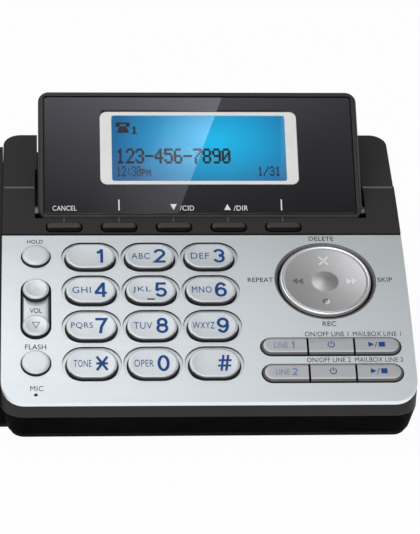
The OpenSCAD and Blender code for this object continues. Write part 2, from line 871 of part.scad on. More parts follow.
module volume_rocker() {
    pad_r = rocker_w / 2 - key_taper;
    pad_h = key_rise + bridge_deep + bridge_round;
    low = -under_plate - bridge_deep;
    color([0.84, 0.84, 0.83])
        on_arch(side_x, rocker_u) {
            rotate(90) {
                stadium_solid(rocker_l, rocker_w, low, -bridge_deep - bridge_round);
                stadium_taper(rocker_l, rocker_w, rocker_w - 2 * bridge_round,
                              -bridge_deep - bridge_round, -bridge_deep);
            }
            for (s = [-1, 1])
                translate([0, s * rocker_l / 2, key_rise - pad_h - eps]) {
                    translate([0, 0, -stem_root])
                        cylinder(r = pad_r - key_taper, h = stem_root + bridge_round / 2);
                    difference() {
                        cylinder(r1 = pad_r, r2 = pad_r - key_taper, h = pad_h);
                        translate([0, 0, pad_h + 3 * rocker_w]) sphere(r = 3 * rocker_w + pad_dish);
                    }
                }
            for (s = [-1, 1])
                translate([0, s * rocker_l / 2, rocker_tip])
                    cylinder(r = stem_r, h = low + stem_root - rocker_tip);
            translate([0, 0, trunnion_z])
                rotate([0, 90, 0]) cylinder(r = trunnion_r, h = trunnion_l, center = true);
        }
}

module disc_pivot() {
    color([0.55, 0.55, 0.55])
        on_arch(disc_x, disc_u)
            translate([0, 0, pivot_z]) cylinder(r = pivot_r, h = disc_boss_z - run_gap - pivot_z);
}

// Dished disc with a round rim and a low knob in its middle.
module message_disc() {
    color([0.7, 0.69, 0.68])
        on_arch(disc_x, disc_u) {
            difference() {
                union() {
                    translate([0, 0, disc_flange_z]) {
                        cylinder(r = disc_r, h = disc_rise - rim_r - disc_flange_z);
                        cylinder(r = disc_r - rim_r, h = face_edge - disc_flange_z);
                        cylinder(r = disc_flange_r, h = disc_flange_t);
                    }
                    translate([0, 0, disc_boss_z]) cylinder(r = disc_boss_r, h = flange_t);
                    rotate_extrude() translate([disc_r - rim_r, disc_rise - rim_r]) circle(r = rim_r);
                }
                translate([0, 0, dish_z + dish_ball]) sphere(r = dish_ball, $fn = arch_fn);
            }
            intersection() {
                translate([0, 0, dish_z + knob_h - knob_ball]) sphere(r = knob_ball);
                translate([0, 0, dish_z - knob_h]) cylinder(r = knob_r + knob_h, h = 2 * knob_h + eps);
            }
            for (a = [0:90:270])
                rotate(a)
                    translate([disc_stem_x, 0, disc_stem_z])
                        cylinder(r = disc_stem_r, h = disc_flange_z + eps - disc_stem_z);
        }
}

// One key of a line row: a slice of the row's whole stadium.
module line_key(u, n) {
    edge0 = slit_at(n) - line_x + (n == 0 ? -far : slit / 2);
    edge1 = slit_at(n + 1) - line_x - (n == 2 ? -far : slit / 2);
    mid = slit_at(n) + line_step / 2 - line_x;
    color([0.66, 0.655, 0.65])
        on_arch(line_x, u) {
            intersection() {
                union() {
                    stadium_solid(line_l - line_w, line_w, flange_low, skirt);
                    stadium_taper(line_l - line_w, line_w, line_top, skirt, line_rise);
                    stadium_solid(line_l - line_w, line_w + 2 * flange_w, flange_low, flange_z);
                }
                translate([edge0, -far / 2, -far / 2]) cube([edge1 - edge0, far, far]);
            }
            translate([mid, 0, tip_z(u, key_travel)])
                cylinder(r = stem_r, h = flange_z - tip_z(u, key_travel));
        }
}

module line1_key() { line_key(line1_u, 0); }
module power1_key() { line_key(line1_u, 1); }
module play1_key() { line_key(line1_u, 2); }
module line2_key() { line_key(line2_u, 0); }
module power2_key() { line_key(line2_u, 1); }
module play2_key() { line_key(line2_u, 2); }

module soft_key(n) {
    top = -under_plate - run_gap;
    low = tip_z(soft_u, soft_travel);
    cap = [-soft_l / 2, soft_l / 2, -soft_w / 2, soft_w / 2, soft_round, soft_round];
    color([0.12, 0.12, 0.125])
        on_arch(soft_at(n), soft_u) {
            plate(soft_l, soft_w, soft_round, top - eps, skirt);
            taper(cap, 0, skirt, soft_inset, soft_rise);
            translate([-soft_l / 2 - flange_w, -soft_w / 2, low])
                cube([soft_l + 2 * flange_w, soft_w - soft_ledge, top - low]);
        }
}

module soft_key_1() { soft_key(0); }
module soft_key_2() { soft_key(1); }
module soft_key_3() { soft_key(2); }
module soft_key_4() { soft_key(3); }
module soft_key_5() { soft_key(4); }

module display_shell() {
    color([0.2, 0.2, 0.205])
        on_display()
            difference() {
                intersection() {
                    rotate([90, 0, 90])
                        linear_extrude(disp_w, center = true)
                            intersection() {
                                union() {
                                    circle(r = barrel_r);
                                    translate([0, -disp_t / 2]) square([disp_top, disp_t]);
                                }
                                translate([-far, -disp_t / 2]) square([2 * far, disp_t]);
                            }
                    union() {
                        translate([0, 0, -far]) linear_extrude(far + face_z - disp_edge) plan(shell_box, 0);
                        taper(shell_box, 0, face_z - disp_edge, disp_edge, face_z);
                    }
                }
                translate([0, (lens_low + lens_high) / 2, 0])
                    plate(2 * lens_hw, lens_high - lens_low, lens_round, lens_z, far);
                translate([0, (cavity_low + cavity_high) / 2, 0])
                    plate(2 * (lens_hw - ledge), cavity_high - cavity_low, lens_round, disp_floor, far);
                for (s = [-1, 1])
                    translate([s * (disp_w / 2 + eps), 0, 0])
                        rotate([0, -s * 90, 0]) cylinder(r = pin_r + run_gap, h = pin_in + pin_end);
            }
}

// Lens with a low foot all round, which leaves a groove beside its face.
module display_lens() {
    color([0.05, 0.05, 0.055])
        on_display()
            difference() {
                translate([0, (lens_low + lens_high) / 2, 0]) {
                    plate(2 * (lens_hw - fit), lens_high - lens_low - 2 * fit, lens_round,
                          lens_z, lens_z + lens_foot);
                    plate(2 * (lens_hw - lens_groove), lens_high - lens_low - 2 * lens_groove, lens_round,
                          lens_z, face_z - fit);
                }
                translate([0, lcd_y, 0])
                    plate(frame_w + 2 * fit, frame_h + 2 * fit, lcd_round + fit, 0, far);
            }
}

module lcd_frame() {
    color([0.9, 0.9, 0.89])
        on_display()
            translate([0, lcd_y, 0])
                difference() {
                    union() {
                        plate(frame_w, frame_h, lcd_round, lens_z - lcd_seat, face_z - fit);
                        plate(frame_w + 2 * lcd_lip, frame_h + 2 * lcd_lip, lcd_round,
                              lens_z - lcd_seat, lens_z);
                    }
                    plate(window_w, window_h, 0.8, -far, far);
                }
}

module lcd_window() {
    color([0.8, 0.9, 0.95, 0.4])
        on_display()
            translate([0, lcd_y, 0])
                plate(window_w - 2 * fit, window_h - 2 * fit, window_round,
                      lens_z - lcd_seat, face_z - 4 * fit);
}

module lcd_panel() {
    color([0.15, 0.55, 0.85])
        on_display()
            translate([0, lcd_y, 0])
                plate(window_w + 2 * glass_edge, window_h + 2 * glass_edge, glass_round,
                      lens_z - lcd_seat - lcd_t, lens_z - lcd_seat);
}

module backlight() {
    color([0.9, 0.92, 0.95])
        on_display()
            translate([0, lcd_y, 0])
                plate(window_w + 2 * light_edge, window_h + 2 * light_rise, glass_round,
                      disp_floor + disp_board_t, lens_z - lcd_seat - lcd_t);
}

module display_board() {
    color([0.1, 0.35, 0.2])
        on_display()
            translate([0, lcd_y, 0])
                plate(frame_w + disp_board_x, frame_h + lcd_lip, lens_round,
                      disp_floor, disp_floor + disp_board_t);
}

module hinge_pins() {
    color([0.75, 0.75, 0.76])
        for (s = [-1, 1])
            translate([base_x + s * (recess_hw - pin_in), hinge_y, hinge_z])
                rotate([0, s * 90, 0]) cylinder(r = pin_r, h = pin_in + pin_out - pin_end);
}

module main_board() {
    color([0.1, 0.35, 0.2])
        on_arch(0, 0)
            difference() {
                translate([-board_hw, board_front, -board_drop - board_t])
                    cube([2 * board_hw, board_rear - board_front, board_t]);
                for (p = board_posts)
                    translate([p[0], p[1], -far / 2]) cylinder(r = post_screw_r + fit, h = far);
            }
}

// One dome switch on the main board, under a key at x and u.
module dome(x, u) {
    on_arch(0, 0)
        translate([x, arch_r * sin(u / arch_r * 180 / PI), -board_drop])
            cylinder(r1 = dome_r, r2 = dome_r / 2, h = dome_h);
}

module dome_switches() {
    color([0.8, 0.8, 0.8]) {
        for (c = [0:2])
            for (r = [0:3])
                dome(col_at(c), row_at(r));
        for (u = [hold_u, flash_u, rocker_u - rocker_l / 2, rocker_u + rocker_l / 2])
            dome(side_x, u);
        for (a = [0:90:270])
            dome(disc_x + disc_stem_x * cos(a), disc_u + disc_stem_x * sin(a));
        for (u = row_line)
            for (n = [0:2])
                dome(slit_at(n) + line_step / 2, u);
        for (n = [0:4])
            dome(soft_at(n), soft_u - soft_dome);
    }
}

module radio_shield() {
    color([0.72, 0.73, 0.74])
        on_arch(0, 0)
            translate([shield_x, shield_u, -board_drop - board_t - shield_h])
                cube([shield_w, shield_l, shield_h]);
}

module speaker() {
    color([0.3, 0.3, 0.31])
        translate([base_x + speaker_x, speaker_y, case_floor])
            rotate_extrude()
                polygon([[cone_r, 0], [speaker_r, 0], [speaker_r, basket_rim], [cone_r - 1, basket_h],
                         [magnet_r, basket_h], [magnet_r, speaker_h], [0, speaker_h],
                         [0, cone_h], [cap_r, cone_h], [cone_r, 1]]);
}

module microphone() {
    color([0.6, 0.6, 0.6])
        on_arch(side_x, mic_u)
            translate([0, 0, -under_plate - mic_h]) cylinder(r = mic_r, h = mic_h);
}

module line_sockets() {
    color([0.1, 0.1, 0.1])
        for (x = socket_x)
            translate([base_x + x, y_rear, jack_z])
                difference() {
                    union() {
                        translate([-jack_w / 2, -socket_deep - socket_back, -jack_h / 2])
                            cube([jack_w, socket_deep + socket_back, jack_h]);
                        translate([-jack_w / 2, -socket_deep - socket_back, -jack_h / 2])
                            translate([-socket_flange, 0, -socket_flange])
                                cube([jack_w + 2 * socket_flange, socket_deep + socket_back - wall,
                                      jack_h + 2 * socket_flange]);
                    }
                    translate([-plug_w / 2, -socket_deep, plug_z]) cube([plug_w, socket_deep + 1, plug_h]);
                    translate([-latch_w / 2, -socket_deep, latch_z])
                        cube([latch_w, socket_deep + 1, latch_h]);
                }
}

module power_inlet() {
    color([0.1, 0.1, 0.1])
        translate([base_x + dc_x, y_rear, jack_z]) {
            difference() {
                union() {
                    translate([-dc_w / 2, -socket_deep - socket_back, -dc_w / 2])
                        cube([dc_w, socket_deep + socket_back, dc_w]);
                    translate([-dc_w / 2, -socket_deep - socket_back, -dc_w / 2])
                        translate([-socket_flange, 0, -socket_flange])
                            cube([dc_w + 2 * socket_flange, socket_deep + socket_back - wall,
                                  dc_w + 2 * socket_flange]);
                }
                translate([0, 1, 0]) rotate([90, 0, 0]) cylinder(r = dc_bore, h = socket_deep + 1);
            }
            translate([0, -1, 0]) rotate([90, 0, 0]) cylinder(r = dc_pin_r, h = socket_deep);
        }
}

module charge_contacts() {
    color([0.82, 0.74, 0.5])
        in_pocket()
            for (s = [-1, 1])
                translate([s * contact_x, 0, 0])
                    rotate([90, 0, 90])
                        linear_extrude(contact_w, center = true)
                            polygon([[-contact_foot, -floor_t], [-contact_foot, -floor_t - contact_t],
                                     [contact_foot, -floor_t - contact_t], [contact_foot, -floor_t],
                                     [contact_foot / 2, -floor_t], [contact_up, contact_up - contact_t],
                                     [contact_up / 2, contact_up], [-contact_up / 2, contact_up],
                                     [-contact_up, contact_up - contact_t], [-contact_foot / 2, -floor_t]]);
}

module rubber_feet() {
    color([0.05, 0.05, 0.05])
        foot_places() {
            cylinder(r1 = foot_r - foot_edge, r2 = foot_r, h = foot_edge);
            translate([0, 0, foot_edge]) cylinder(r = foot_r, h = foot_h + foot_seat - foot_edge);
        }
}

module case_screws() {
    color([0.7, 0.7, 0.72])
        screw_spots() {
            difference() {
                translate([0, 0, head_z - head_h]) cylinder(r = head_r, h = head_h);
                translate([0, 0, head_z - head_h]) cube([slot_l, slot_w, 2 * slot_deep], center = true);
                translate([0, 0, head_z - head_h]) cube([slot_w, slot_l, 2 * slot_deep], center = true);
            }
            translate([0, 0, head_z - eps]) cylinder(r = screw_r, h = screw_l);
        }
}

module board_screws() {
    color([0.7, 0.7, 0.72])
        for (p = board_posts)
            on_arch(0, 0)
                translate([p[0], p[1], -board_drop - board_t]) {
                    translate([0, 0, -post_head_h]) cylinder(r = post_head_r, h = post_head_h);
                    translate([0, 0, -eps]) cylinder(r = post_screw_r, h = board_t + post_screw_l);
                }
}

bottom_case();
top_housing();
faceplate();
charging_cradle();
key_1();
key_2();
key_3();
key_4();
key_5();
key_6();
key_7();
key_8();
key_9();
key_star();
key_0();
key_pound();
hold_key();
flash_key();
volume_rocker();
disc_pivot();
message_disc();
line1_key();
power1_key();
play1_key();
line2_key();
power2_key();
play2_key();
soft_key_1();
soft_key_2();
soft_key_3();
soft_key_4();
soft_key_5();
display_shell();
display_lens();
lcd_frame();
lcd_window();
lcd_panel();
backlight();
display_board();
hinge_pins();
main_board();
dome_switches();
radio_shield();
speaker();
microphone();
line_sockets();
power_inlet();
charge_contacts();
rubber_feet();
case_screws();
board_screws();
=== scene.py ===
import math

import bpy
from mathutils import Matrix, Vector


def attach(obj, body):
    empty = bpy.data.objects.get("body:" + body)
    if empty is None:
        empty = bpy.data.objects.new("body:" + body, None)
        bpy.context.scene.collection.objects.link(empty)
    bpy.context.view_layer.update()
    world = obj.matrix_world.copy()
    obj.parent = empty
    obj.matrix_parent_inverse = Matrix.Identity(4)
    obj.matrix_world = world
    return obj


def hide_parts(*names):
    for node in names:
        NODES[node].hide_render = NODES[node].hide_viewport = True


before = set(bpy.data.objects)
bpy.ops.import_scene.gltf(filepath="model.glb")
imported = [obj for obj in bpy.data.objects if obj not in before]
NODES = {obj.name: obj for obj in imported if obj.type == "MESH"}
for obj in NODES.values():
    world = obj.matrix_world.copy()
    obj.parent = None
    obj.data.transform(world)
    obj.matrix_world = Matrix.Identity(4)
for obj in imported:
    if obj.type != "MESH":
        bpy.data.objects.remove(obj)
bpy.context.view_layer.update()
scene = bpy.context.scene

# Sizes of the part, in millimetres, as in its source: L is a length, W a width and R a radius. BASE_X is the
# base's middle, other X are places from it, and U is a place along the arched panel from its middle.
MM = 0.001
BASE_X, BASE_W, BASE_D, CORNER = 33.0, 135.8, 121.7, 7.7
ARCH_R, MID_SLOPE, PANEL_FRONT, FRONT_H = 369.0, 20.58, 34.7, 16.1
DISP_TILT, DISP_OFF, FACE_Z = math.radians(34.3), -0.1, 5.0
HINGE_S, HINGE_U, HINGE_DEEP = 4.0, 50.75, 2.83
FLANGE_OUT, FLANGE_Z, FLANGE_LOW = 0.75, -1.5, -2.5
KEY_L, KEY_W = 5.3, 11.5
COLS = [-38.3 + 20.0 * n for n in range(3)]
ROWS = [25.2 - 15.17 * n for n in range(4)]
WELL_L, WELL_W, WELL_OFF, WELL_DEEP = 5.9, 13.6, 0.6, 0.7
SIDE_X, ROUND_R = -56.5, 4.7
HOLD_U, FLASH_U, ROCKER_U = 25.9, -19.5, 3.0
ROCKER_L, ROCKER_W, ROCKER_LOW = 15.5, 9.5, -4.0
PAD_R = ROCKER_W / 2 - 0.3
DISC_X, DISC_U, DISC_R, FACE_R = 40.4, 15.1, 15.3, 14.2
DISC_RISE, DISC_DISH, KNOB_R, KNOB_H = 0.4, 0.9, 4.3, 0.7
HUB_R, HUB_LOW = 4.0, -5.55
DISC_FLANGE_R, DISC_FLANGE_LOW, DISC_FLANGE_TOP = 16.75, -5.25, -4.65
LINE_X, LINE_L, LINE_W, SLIT = 40.3, 46.1, 6.9, 0.6
LINE_U = [-13.25, -23.8]
SOFT_X, SOFT_PITCH, SOFT_U, SOFT_L, SOFT_W = -46.9, 18.68, 40.0, 11.8, 4.2
SOFT_COUNT = 5
CREASE_U, CREASE_R = 60.7, 4.0
SHOULDERS = {"left": (-67.3, -57.1), "right": (56.9, 67.3)}

# Skin on the collar around the message disc: a flat ring, and a cone down to COLLAR_R at CONE_LOW.
COLLAR_R, COLLAR_FLARE, CONE_LOW = 16.01, 0.75, -1.0
COLLAR_OUT, COLLAR_MID_R, COLLAR_TOP, COLLAR_LOW = 17.0, 16.6, -0.06, -1.6

# Skins of the keys, from the flange or skirt up to the middle of the top, as (inset, height).
FLANGE = [(-FLANGE_OUT, FLANGE_LOW), (-FLANGE_OUT, FLANGE_Z), (0.0, FLANGE_Z)]
CAP = [(0.0, 0.35), (0.1, 0.8), (0.15, 0.98), (0.22, 1.1), (0.34, 1.2), (0.52, 1.27), (0.78, 1.3),
       (1.2, 1.28), (2.0, 1.24), (3.2, 1.2)]
# Height of a dial cap's middle, and the height under which key skins take the dark skirt colour, partly
# painted shade.
CAP_MIDDLE, SKIRT_TOP = 1.18, 0.9
ROUND_CAP = [(0.0, 0.4), (0.08, 0.8), (0.14, 0.98), (0.22, 1.1), (0.36, 1.2), (0.56, 1.26), (1.0, 1.3),
             (2.2, 1.3), (ROUND_R - 0.3, 1.3)]
BRIDGE = [(0.0, ROCKER_LOW), (0.0, -1.8), (0.12, -1.55), (0.35, -1.3), (0.7, -1.1), (1.2, -1.02),
          (2.4, -1.0), (4.3, -1.0)]
PAD = [(0.0, -1.6), (0.0, 0.3), (0.1, 0.75), (0.18, 0.95), (0.32, 1.12), (0.52, 1.24), (0.8, 1.28),
       (1.2, 1.24), (2.0, 1.13), (3.0, 1.06), (4.1, 1.03)]
LINE_CAP = [(0.0, 0.1), (0.15, 0.35), (0.45, 0.64), (0.75, 0.84), (0.92, 0.93), (1.08, 0.98), (1.3, 1.0),
            (2.0, 1.0), (3.2, 1.0)]
SOFT_CAP = [(0.0, -3.3), (0.0, 0.1), (0.12, 0.34), (0.32, 0.6), (0.52, 0.78), (0.68, 0.86), (0.9, 0.9),
            (1.05, 0.9), (1.9, 0.89)]

# Heights of the printing: over a curved surface, and in each flat face's own frame.
PRINT_LIFT = 0.03
LINE_PRINT, BRIDGE_PRINT, PAD_PRINT, LENS_PRINT, LCD_PRINT = 1.03, -0.97, 1.13, -0.07, -2.47
# How far a skin lies off the solid under it, and the angle in degrees from which an edge is sharp.
SKIN_LIFT, EDGE_ANGLE = 0.02, 35


def angle_at(u):
    """Slope of the panel at u, in radians."""
    return math.radians(MID_SLOPE - math.degrees(u / ARCH_R))


ARCH_Y = -BASE_D / 2 + ARCH_R * math.sin(angle_at(-PANEL_FRONT))
ARCH_Z = FRONT_H - ARCH_R * math.cos(angle_at(-PANEL_FRONT))


def arch(x, u, h):
    """Point h over the arched panel at (x, u), in millimetres."""
    a = angle_at(u)
    r = ARCH_R + h
    return Vector((BASE_X + x, ARCH_Y - r * math.sin(a), ARCH_Z + r * math.cos(a)))


def sag(v):
    """How far the arch falls below its tangent at the distance v."""
    return v ** 2 / (2 * ARCH_R)


def on_arch(x, u):
    """Frame that touches the arch at (x, u), in millimetres, z out of the panel."""
    return (Matrix.Scale(MM, 4)
            @ Matrix.Translation((BASE_X + x, ARCH_Y, ARCH_Z))
            @ Matrix.Rotation(angle_at(u), 4, "X")
            @ Matrix.Translation((0, 0, ARCH_R)))


def on_display():
    """Frame on the display's face: x from its middle, y up from its lower edge, z out of the face."""
    return (Matrix.Scale(MM, 4)
            @ Matrix.Translation(arch(DISP_OFF, HINGE_U, -HINGE_DEEP))
            @ Matrix.Rotation(DISP_TILT, 4, "X")
            @ Matrix.Translation((0, -HINGE_S, FACE_Z)))


# Nodes


def add_node(tree, kind, *values, **named):
    """New node; its inputs, in order or by name, are given as values or as outputs of other nodes."""
    n = tree.nodes.new(kind)
    for key, value in [*enumerate(values), *named.items()]:
        if isinstance(value, bpy.types.NodeSocket):
            tree.links.new(value, n.inputs[key])
        else:
            n.inputs[key].default_value = value
    return n


def calc(tree, operation, *values):
    """Result of a math node."""
    n = add_node(tree, "ShaderNodeMath", *values)
    n.operation = operation
    return n.outputs[0]


def map_range(tree, value, start, end, low=0.0, high=1.0):
    """Value carried from start..end to low..high, and held at both ends."""
    return add_node(tree, "ShaderNodeMapRange", value, start, end, low, high).outputs["Result"]


def colour_ramp(tree, value, stops):
    """Colour along a value, through stops of (value, colour)."""
    n = add_node(tree, "ShaderNodeValToRGB", value)
    points = n.color_ramp.elements
    while len(points) < len(stops):
        points.new(0.5)
    for point, (at, colour) in zip(points, stops):
        point.position = at
        point.color = colour
    return n.outputs["Color"]


def split(tree, vector):
    """X, Y and Z of a vector."""
    return add_node(tree, "ShaderNodeSeparateXYZ", vector).outputs


def grey(v):
    return (v, v, v, 1)


# Materials

# Part of a noise's range that its colours and roughness are spread over.
NOISE_LOW, NOISE_HIGH = 0.3, 0.7
# Scales per metre of the clouds in a plastic's colour and gloss, and of a brushed metal's streaks.
CLOUDS, GLOSS = 60, 180
STREAKS, STREAK_GLOSS, STREAK_DEPTH = (40, 2500, 2500), (90, 700, 700), 0.01
# Grain of a moulded surface: its size and depth in millimetres, and how strongly it shows.
SHELL_GRAIN = (0.3, 0.02, 0.3)
SATIN_GRAIN = (0.3, 0.015, 0.2)
SKIRT_GRAIN = (0.2, 0.01, 0.2)
FINE_GRAIN = (0.2, 0.01, 0.15)
PAINT_GRAIN = (0.12, 0.01, 0.03)
INK_GRAIN = (0.2, 0.005, 0.1)


def linear(c):
    """Linear colour of an sRGB colour given in 0..255."""
    def one(v):
        v /= 255
        return v / 12.92 if v <= 0.04045 else ((v + 0.055) / 1.055) ** 2.4
    return tuple(one(v) for v in c) + (1.0,)


def shades(rgb, spread):
    """Darkest and lightest colour of a surface whose colour varies by spread."""
    return linear([max(v - spread, 0) for v in rgb]), linear([min(v + spread, 255) for v in rgb])


class Shader:
    """A material with one Principled node, and helpers that add the nodes of its finish."""

    def __init__(self, name, **sockets):
        self.mat = bpy.data.materials.new(name)
        self.mat.use_nodes = True
        self.tree = self.mat.node_tree
        self.bsdf = self.tree.nodes["Principled BSDF"]
        self.coords = self.tree.nodes.new("ShaderNodeTexCoord").outputs
        for key, value in sockets.items():
            self.bsdf.inputs[key.replace("_", " ")].default_value = value

    def link(self, socket, source):
        self.tree.links.new(source, self.bsdf.inputs[socket])

    def stretched(self, coords, scale):
        """Coordinates times a scale for each axis."""
        n = add_node(self.tree, "ShaderNodeMapping", Vector=self.coords[coords], Scale=scale)
        return n.outputs["Vector"]

    def noise(self, scale, detail, stretch=None):
        at = self.stretched("Object", stretch) if stretch else self.coords["Object"]
        n = add_node(self.tree, "ShaderNodeTexNoise", Vector=at, Scale=scale, Detail=detail)
        return n.outputs["Fac"]

    def colour(self, noise, low, high):
        self.link("Base Color", colour_ramp(self.tree, noise, [(NOISE_LOW, low), (NOISE_HIGH, high)]))

    def rough(self, noise, low, high):
        self.link("Roughness", map_range(self.tree, noise, NOISE_LOW, NOISE_HIGH, low, high))

    def bump(self, noise, strength, depth):
        """Relief of a depth in millimetres."""
        n = add_node(self.tree, "ShaderNodeBump", Strength=strength, Distance=depth * MM, Height=noise)
        self.link("Normal", n.outputs["Normal"])


def plastic(name, rgb, spread, rough, grain, specular=0.5, metallic=0.0):
    """Moulded plastic, paint or ink: a cloudy colour within spread, uneven gloss and a fine grain."""
    s = Shader(name, Specular_IOR_Level=specular, Metallic=metallic)
    size, depth, strength = grain
    s.colour(s.noise(CLOUDS, 3), *shades(rgb, spread))
    s.rough(s.noise(GLOSS, 3), *rough)
    s.bump(s.noise(1 / (size * MM), 2), strength, depth)
    return s.mat


def metal(name, rgb, spread, rough, strength=0.08, metallic=1.0):
    """Brushed or rolled metal, or silver paint: streaks along x in colour, gloss and relief."""
    s = Shader(name, Metallic=metallic)
    streaks = s.noise(1.0, 3, STREAKS)
    s.colour(streaks, *shades(rgb, spread))
    s.rough(s.noise(1.0, 2, STREAK_GLOSS), *rough)
    s.bump(streaks, strength, STREAK_DEPTH)
    return s.mat


def clear_window():
    """Clear plastic with a faint haze."""
    s = Shader("clear_window", Transmission_Weight=1.0, IOR=1.75)
    s.bsdf.inputs["Base Color"].default_value = linear((252, 253, 253))
    s.rough(s.noise(400, 2), 0.0, 0.005)
    return s.mat


def lcd_glow():
    """Blue LCD, lit from the upper middle and darker to its right and lower edges."""
    s = Shader("lcd_blue", Roughness=0.35, Specular_IOR_Level=0.0, Emission_Strength=1.12)
    stretch, middle = (1.5, 1.1, 0.0), (0.885, 0.66, 0.0)
    away = add_node(s.tree, "ShaderNodeVectorMath", s.stretched("Generated", stretch), middle)
    away.operation = "DISTANCE"
    blues = [(0.05, linear((24, 178, 228))), (0.85, linear((22, 94, 146)))]
    s.link("Emission Color", colour_ramp(s.tree, away.outputs["Value"], blues))
    s.colour(s.noise(300, 2), linear((4, 14, 24)), linear((6, 18, 30)))
    return s.mat


MATS = {
    "housing": plastic("housing_dark", (56, 54, 55), 1, (0.45, 0.58), SHELL_GRAIN, specular=0.1),
    # Near-black bottom case with almost no specular: black plastic, with the shade under its undercut
    # painted in.
    "case": plastic("case_black", (3, 3, 3), 2, (0.5, 0.65), SHELL_GRAIN, specular=0.02),
    "cradle": plastic("cradle_dark", (46, 44, 45), 1, (0.45, 0.58), SHELL_GRAIN, specular=0.1),
    "silver": metal("silver_paint", (219, 225, 227), 2, (0.33, 0.39), strength=0.03, metallic=0.6),
    "key": plastic("key_silver", (214, 220, 222), 3, (0.28, 0.36), (0.12, 0.01, 0.12), metallic=0.45),
    # Dark grey for the keys' skirts and the disc's wall: partly their own dark sides, partly painted shade.
    "skirt": plastic("key_skirt_dark_and_painted_shade", (50, 50, 52), 4, (0.4, 0.55), SKIRT_GRAIN, specular=0.2),
    # Mid grey for the rounding of the dial caps and the sides of the rocker's channel: painted shade.
    "lip": plastic("key_lip_painted_shade", (112, 113, 115), 4, (0.35, 0.45), FINE_GRAIN, metallic=0.3),
    "line": metal("line_key_grey", (188, 189, 191), 3, (0.32, 0.4), strength=0.03, metallic=0.5),
    # Light grey for the line keys' front and end edges: a painted highlight.
    "line_lip": plastic("line_key_painted_highlight", (208, 208, 208), 3, (0.3, 0.4), (0.2, 0.01, 0.1), metallic=0.2),
    # Grey for the line keys' front and end sides: painted shade.
    "line_side": plastic("line_key_side_painted_shade", (98, 98, 99), 4, (0.4, 0.5), FINE_GRAIN, metallic=0.3),
    # Near black for the skins on the dial keys' well walls: painted shade.
    "well": plastic("well_painted_shade", (26, 26, 27), 4, (0.45, 0.6), SKIRT_GRAIN, specular=0.15),
    "collar": plastic("collar_grey", (124, 124, 126), 4, (0.2, 0.28), (0.2, 0.01, 0.03), metallic=0.5),
    "disc": plastic("disc_silver", (202, 202, 202), 2, (0.28, 0.31), PAINT_GRAIN, metallic=0.7),
    "disc_side": plastic("disc_side", (214, 214, 215), 3, (0.3, 0.36), PAINT_GRAIN, metallic=0.4),
    "chrome": plastic("disc_rim", (236, 236, 236), 3, (0.16, 0.2), (0.12, 0.01, 0.02), metallic=1.0),
    "knob": plastic("disc_knob", (176, 176, 176), 2, (0.28, 0.31), PAINT_GRAIN, metallic=0.7),
    "soft": plastic("soft_key_black", (52, 48, 47), 4, (0.35, 0.45), FINE_GRAIN),
    # Near black for the soft keys' front and sides: painted shade.
    "soft_painted_shade": plastic("soft_key_side", (10, 9, 9), 3, (0.45, 0.6), FINE_GRAIN, specular=0.1),
    "display": plastic("display_dark", (34, 33, 34), 3, (0.35, 0.45), SATIN_GRAIN, specular=0.4),
    "lens": plastic("lens_black", (5, 5, 6), 2, (0.0, 0.015), (2.0, 0.001, 0.01), specular=1.0),
    "white": plastic("frame_white", (248, 248, 246), 3, (0.25, 0.35), (0.4, 0.01, 0.1)),
    "board": plastic("board_green", (26, 84, 52), 10, (0.35, 0.5), (0.6, 0.03, 0.4)),
    "steel": metal("steel", (186, 186, 190), 8, (0.25, 0.4)),
    "pin": metal("pin_dark", (92, 92, 94), 6, (0.2, 0.3)),
    # Light grey for the strips on the shoulders' creases: a painted highlight.
    "edge": metal("crease_painted_highlight", (104, 102, 103), 4, (0.3, 0.4), metallic=0.6),
    "gold": metal("contact_gold", (214, 184, 120), 8, (0.2, 0.35)),
    "speaker": plastic("speaker_dark", (44, 44, 46), 8, (0.5, 0.7), (0.5, 0.05, 0.5)),
    "socket": plastic("socket_black", (22, 22, 23), 4, (0.3, 0.45), SATIN_GRAIN),
    "rubber": plastic("rubber_black", (20, 20, 20), 5, (0.7, 0.85), (0.4, 0.06, 0.5)),
    "silicone": plastic("silicone_grey", (140, 140, 142), 6, (0.45, 0.6), (0.4, 0.03, 0.3)),
    "diffuser": plastic("diffuser_white", (232, 234, 238), 4, (0.4, 0.5), (0.5, 0.02, 0.2)),
    "blue_ink": plastic("ink_blue", (24, 78, 144), 4, (0.45, 0.55), INK_GRAIN, specular=0.2),
    "pale_ink": plastic("ink_pale_blue", (104, 136, 190), 6, (0.4, 0.5), INK_GRAIN),
    "grey_ink": plastic("ink_grey", (48, 50, 54), 4, (0.45, 0.55), INK_GRAIN, specular=0.2),
    "mid_ink": plastic("ink_mid", (112, 111, 111), 4, (0.45, 0.55), INK_GRAIN),
    "white_ink": plastic("ink_white", (246, 246, 246), 4, (0.4, 0.5), INK_GRAIN),
    "faint_ink": plastic("ink_faint", (92, 88, 88), 5, (0.4, 0.5), INK_GRAIN),
    "lcd_ink": plastic("lcd_ink", (6, 14, 30), 4, (0.4, 0.5), INK_GRAIN),
    "clear": clear_window(),
    "lcd": lcd_glow(),
}


# Meshes


def add_object(name, data):
    ob = bpy.data.objects.new(name, data)
    scene.collection.objects.link(ob)
    return ob


def add_mesh(name, body, mats, verts, faces, index=None, sharp=EDGE_ANGLE, smooth=True):
    """New piece on a body; index gives each face's material, and sharp the angle of its hard edges."""
    me = bpy.data.meshes.new(name)
    me.from_pydata([tuple(v) for v in verts], [], faces)
    for m in mats:
        me.materials.append(MATS[m])
    if index:
        me.polygons.foreach_set("material_index", index)
    me.polygons.foreach_set("use_smooth", [smooth] * len(me.polygons))
    me.update()
    me.set_sharp_from_angle(angle=math.radians(sharp))
    ob = add_object(name, me)
    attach(ob, body)
    return ob


def quads(first, second, n):
    """Faces between two rings of n points that start at the indices first and second."""
    return [(first + i, first + (i + 1) % n, second + (i + 1) % n, second + i) for i in range(n)]


def strip(count):
    """Faces along a ribbon of count pairs of points."""
    return [(2 * i - 2, 2 * i - 1, 2 * i + 1, 2 * i) for i in range(1, count)]


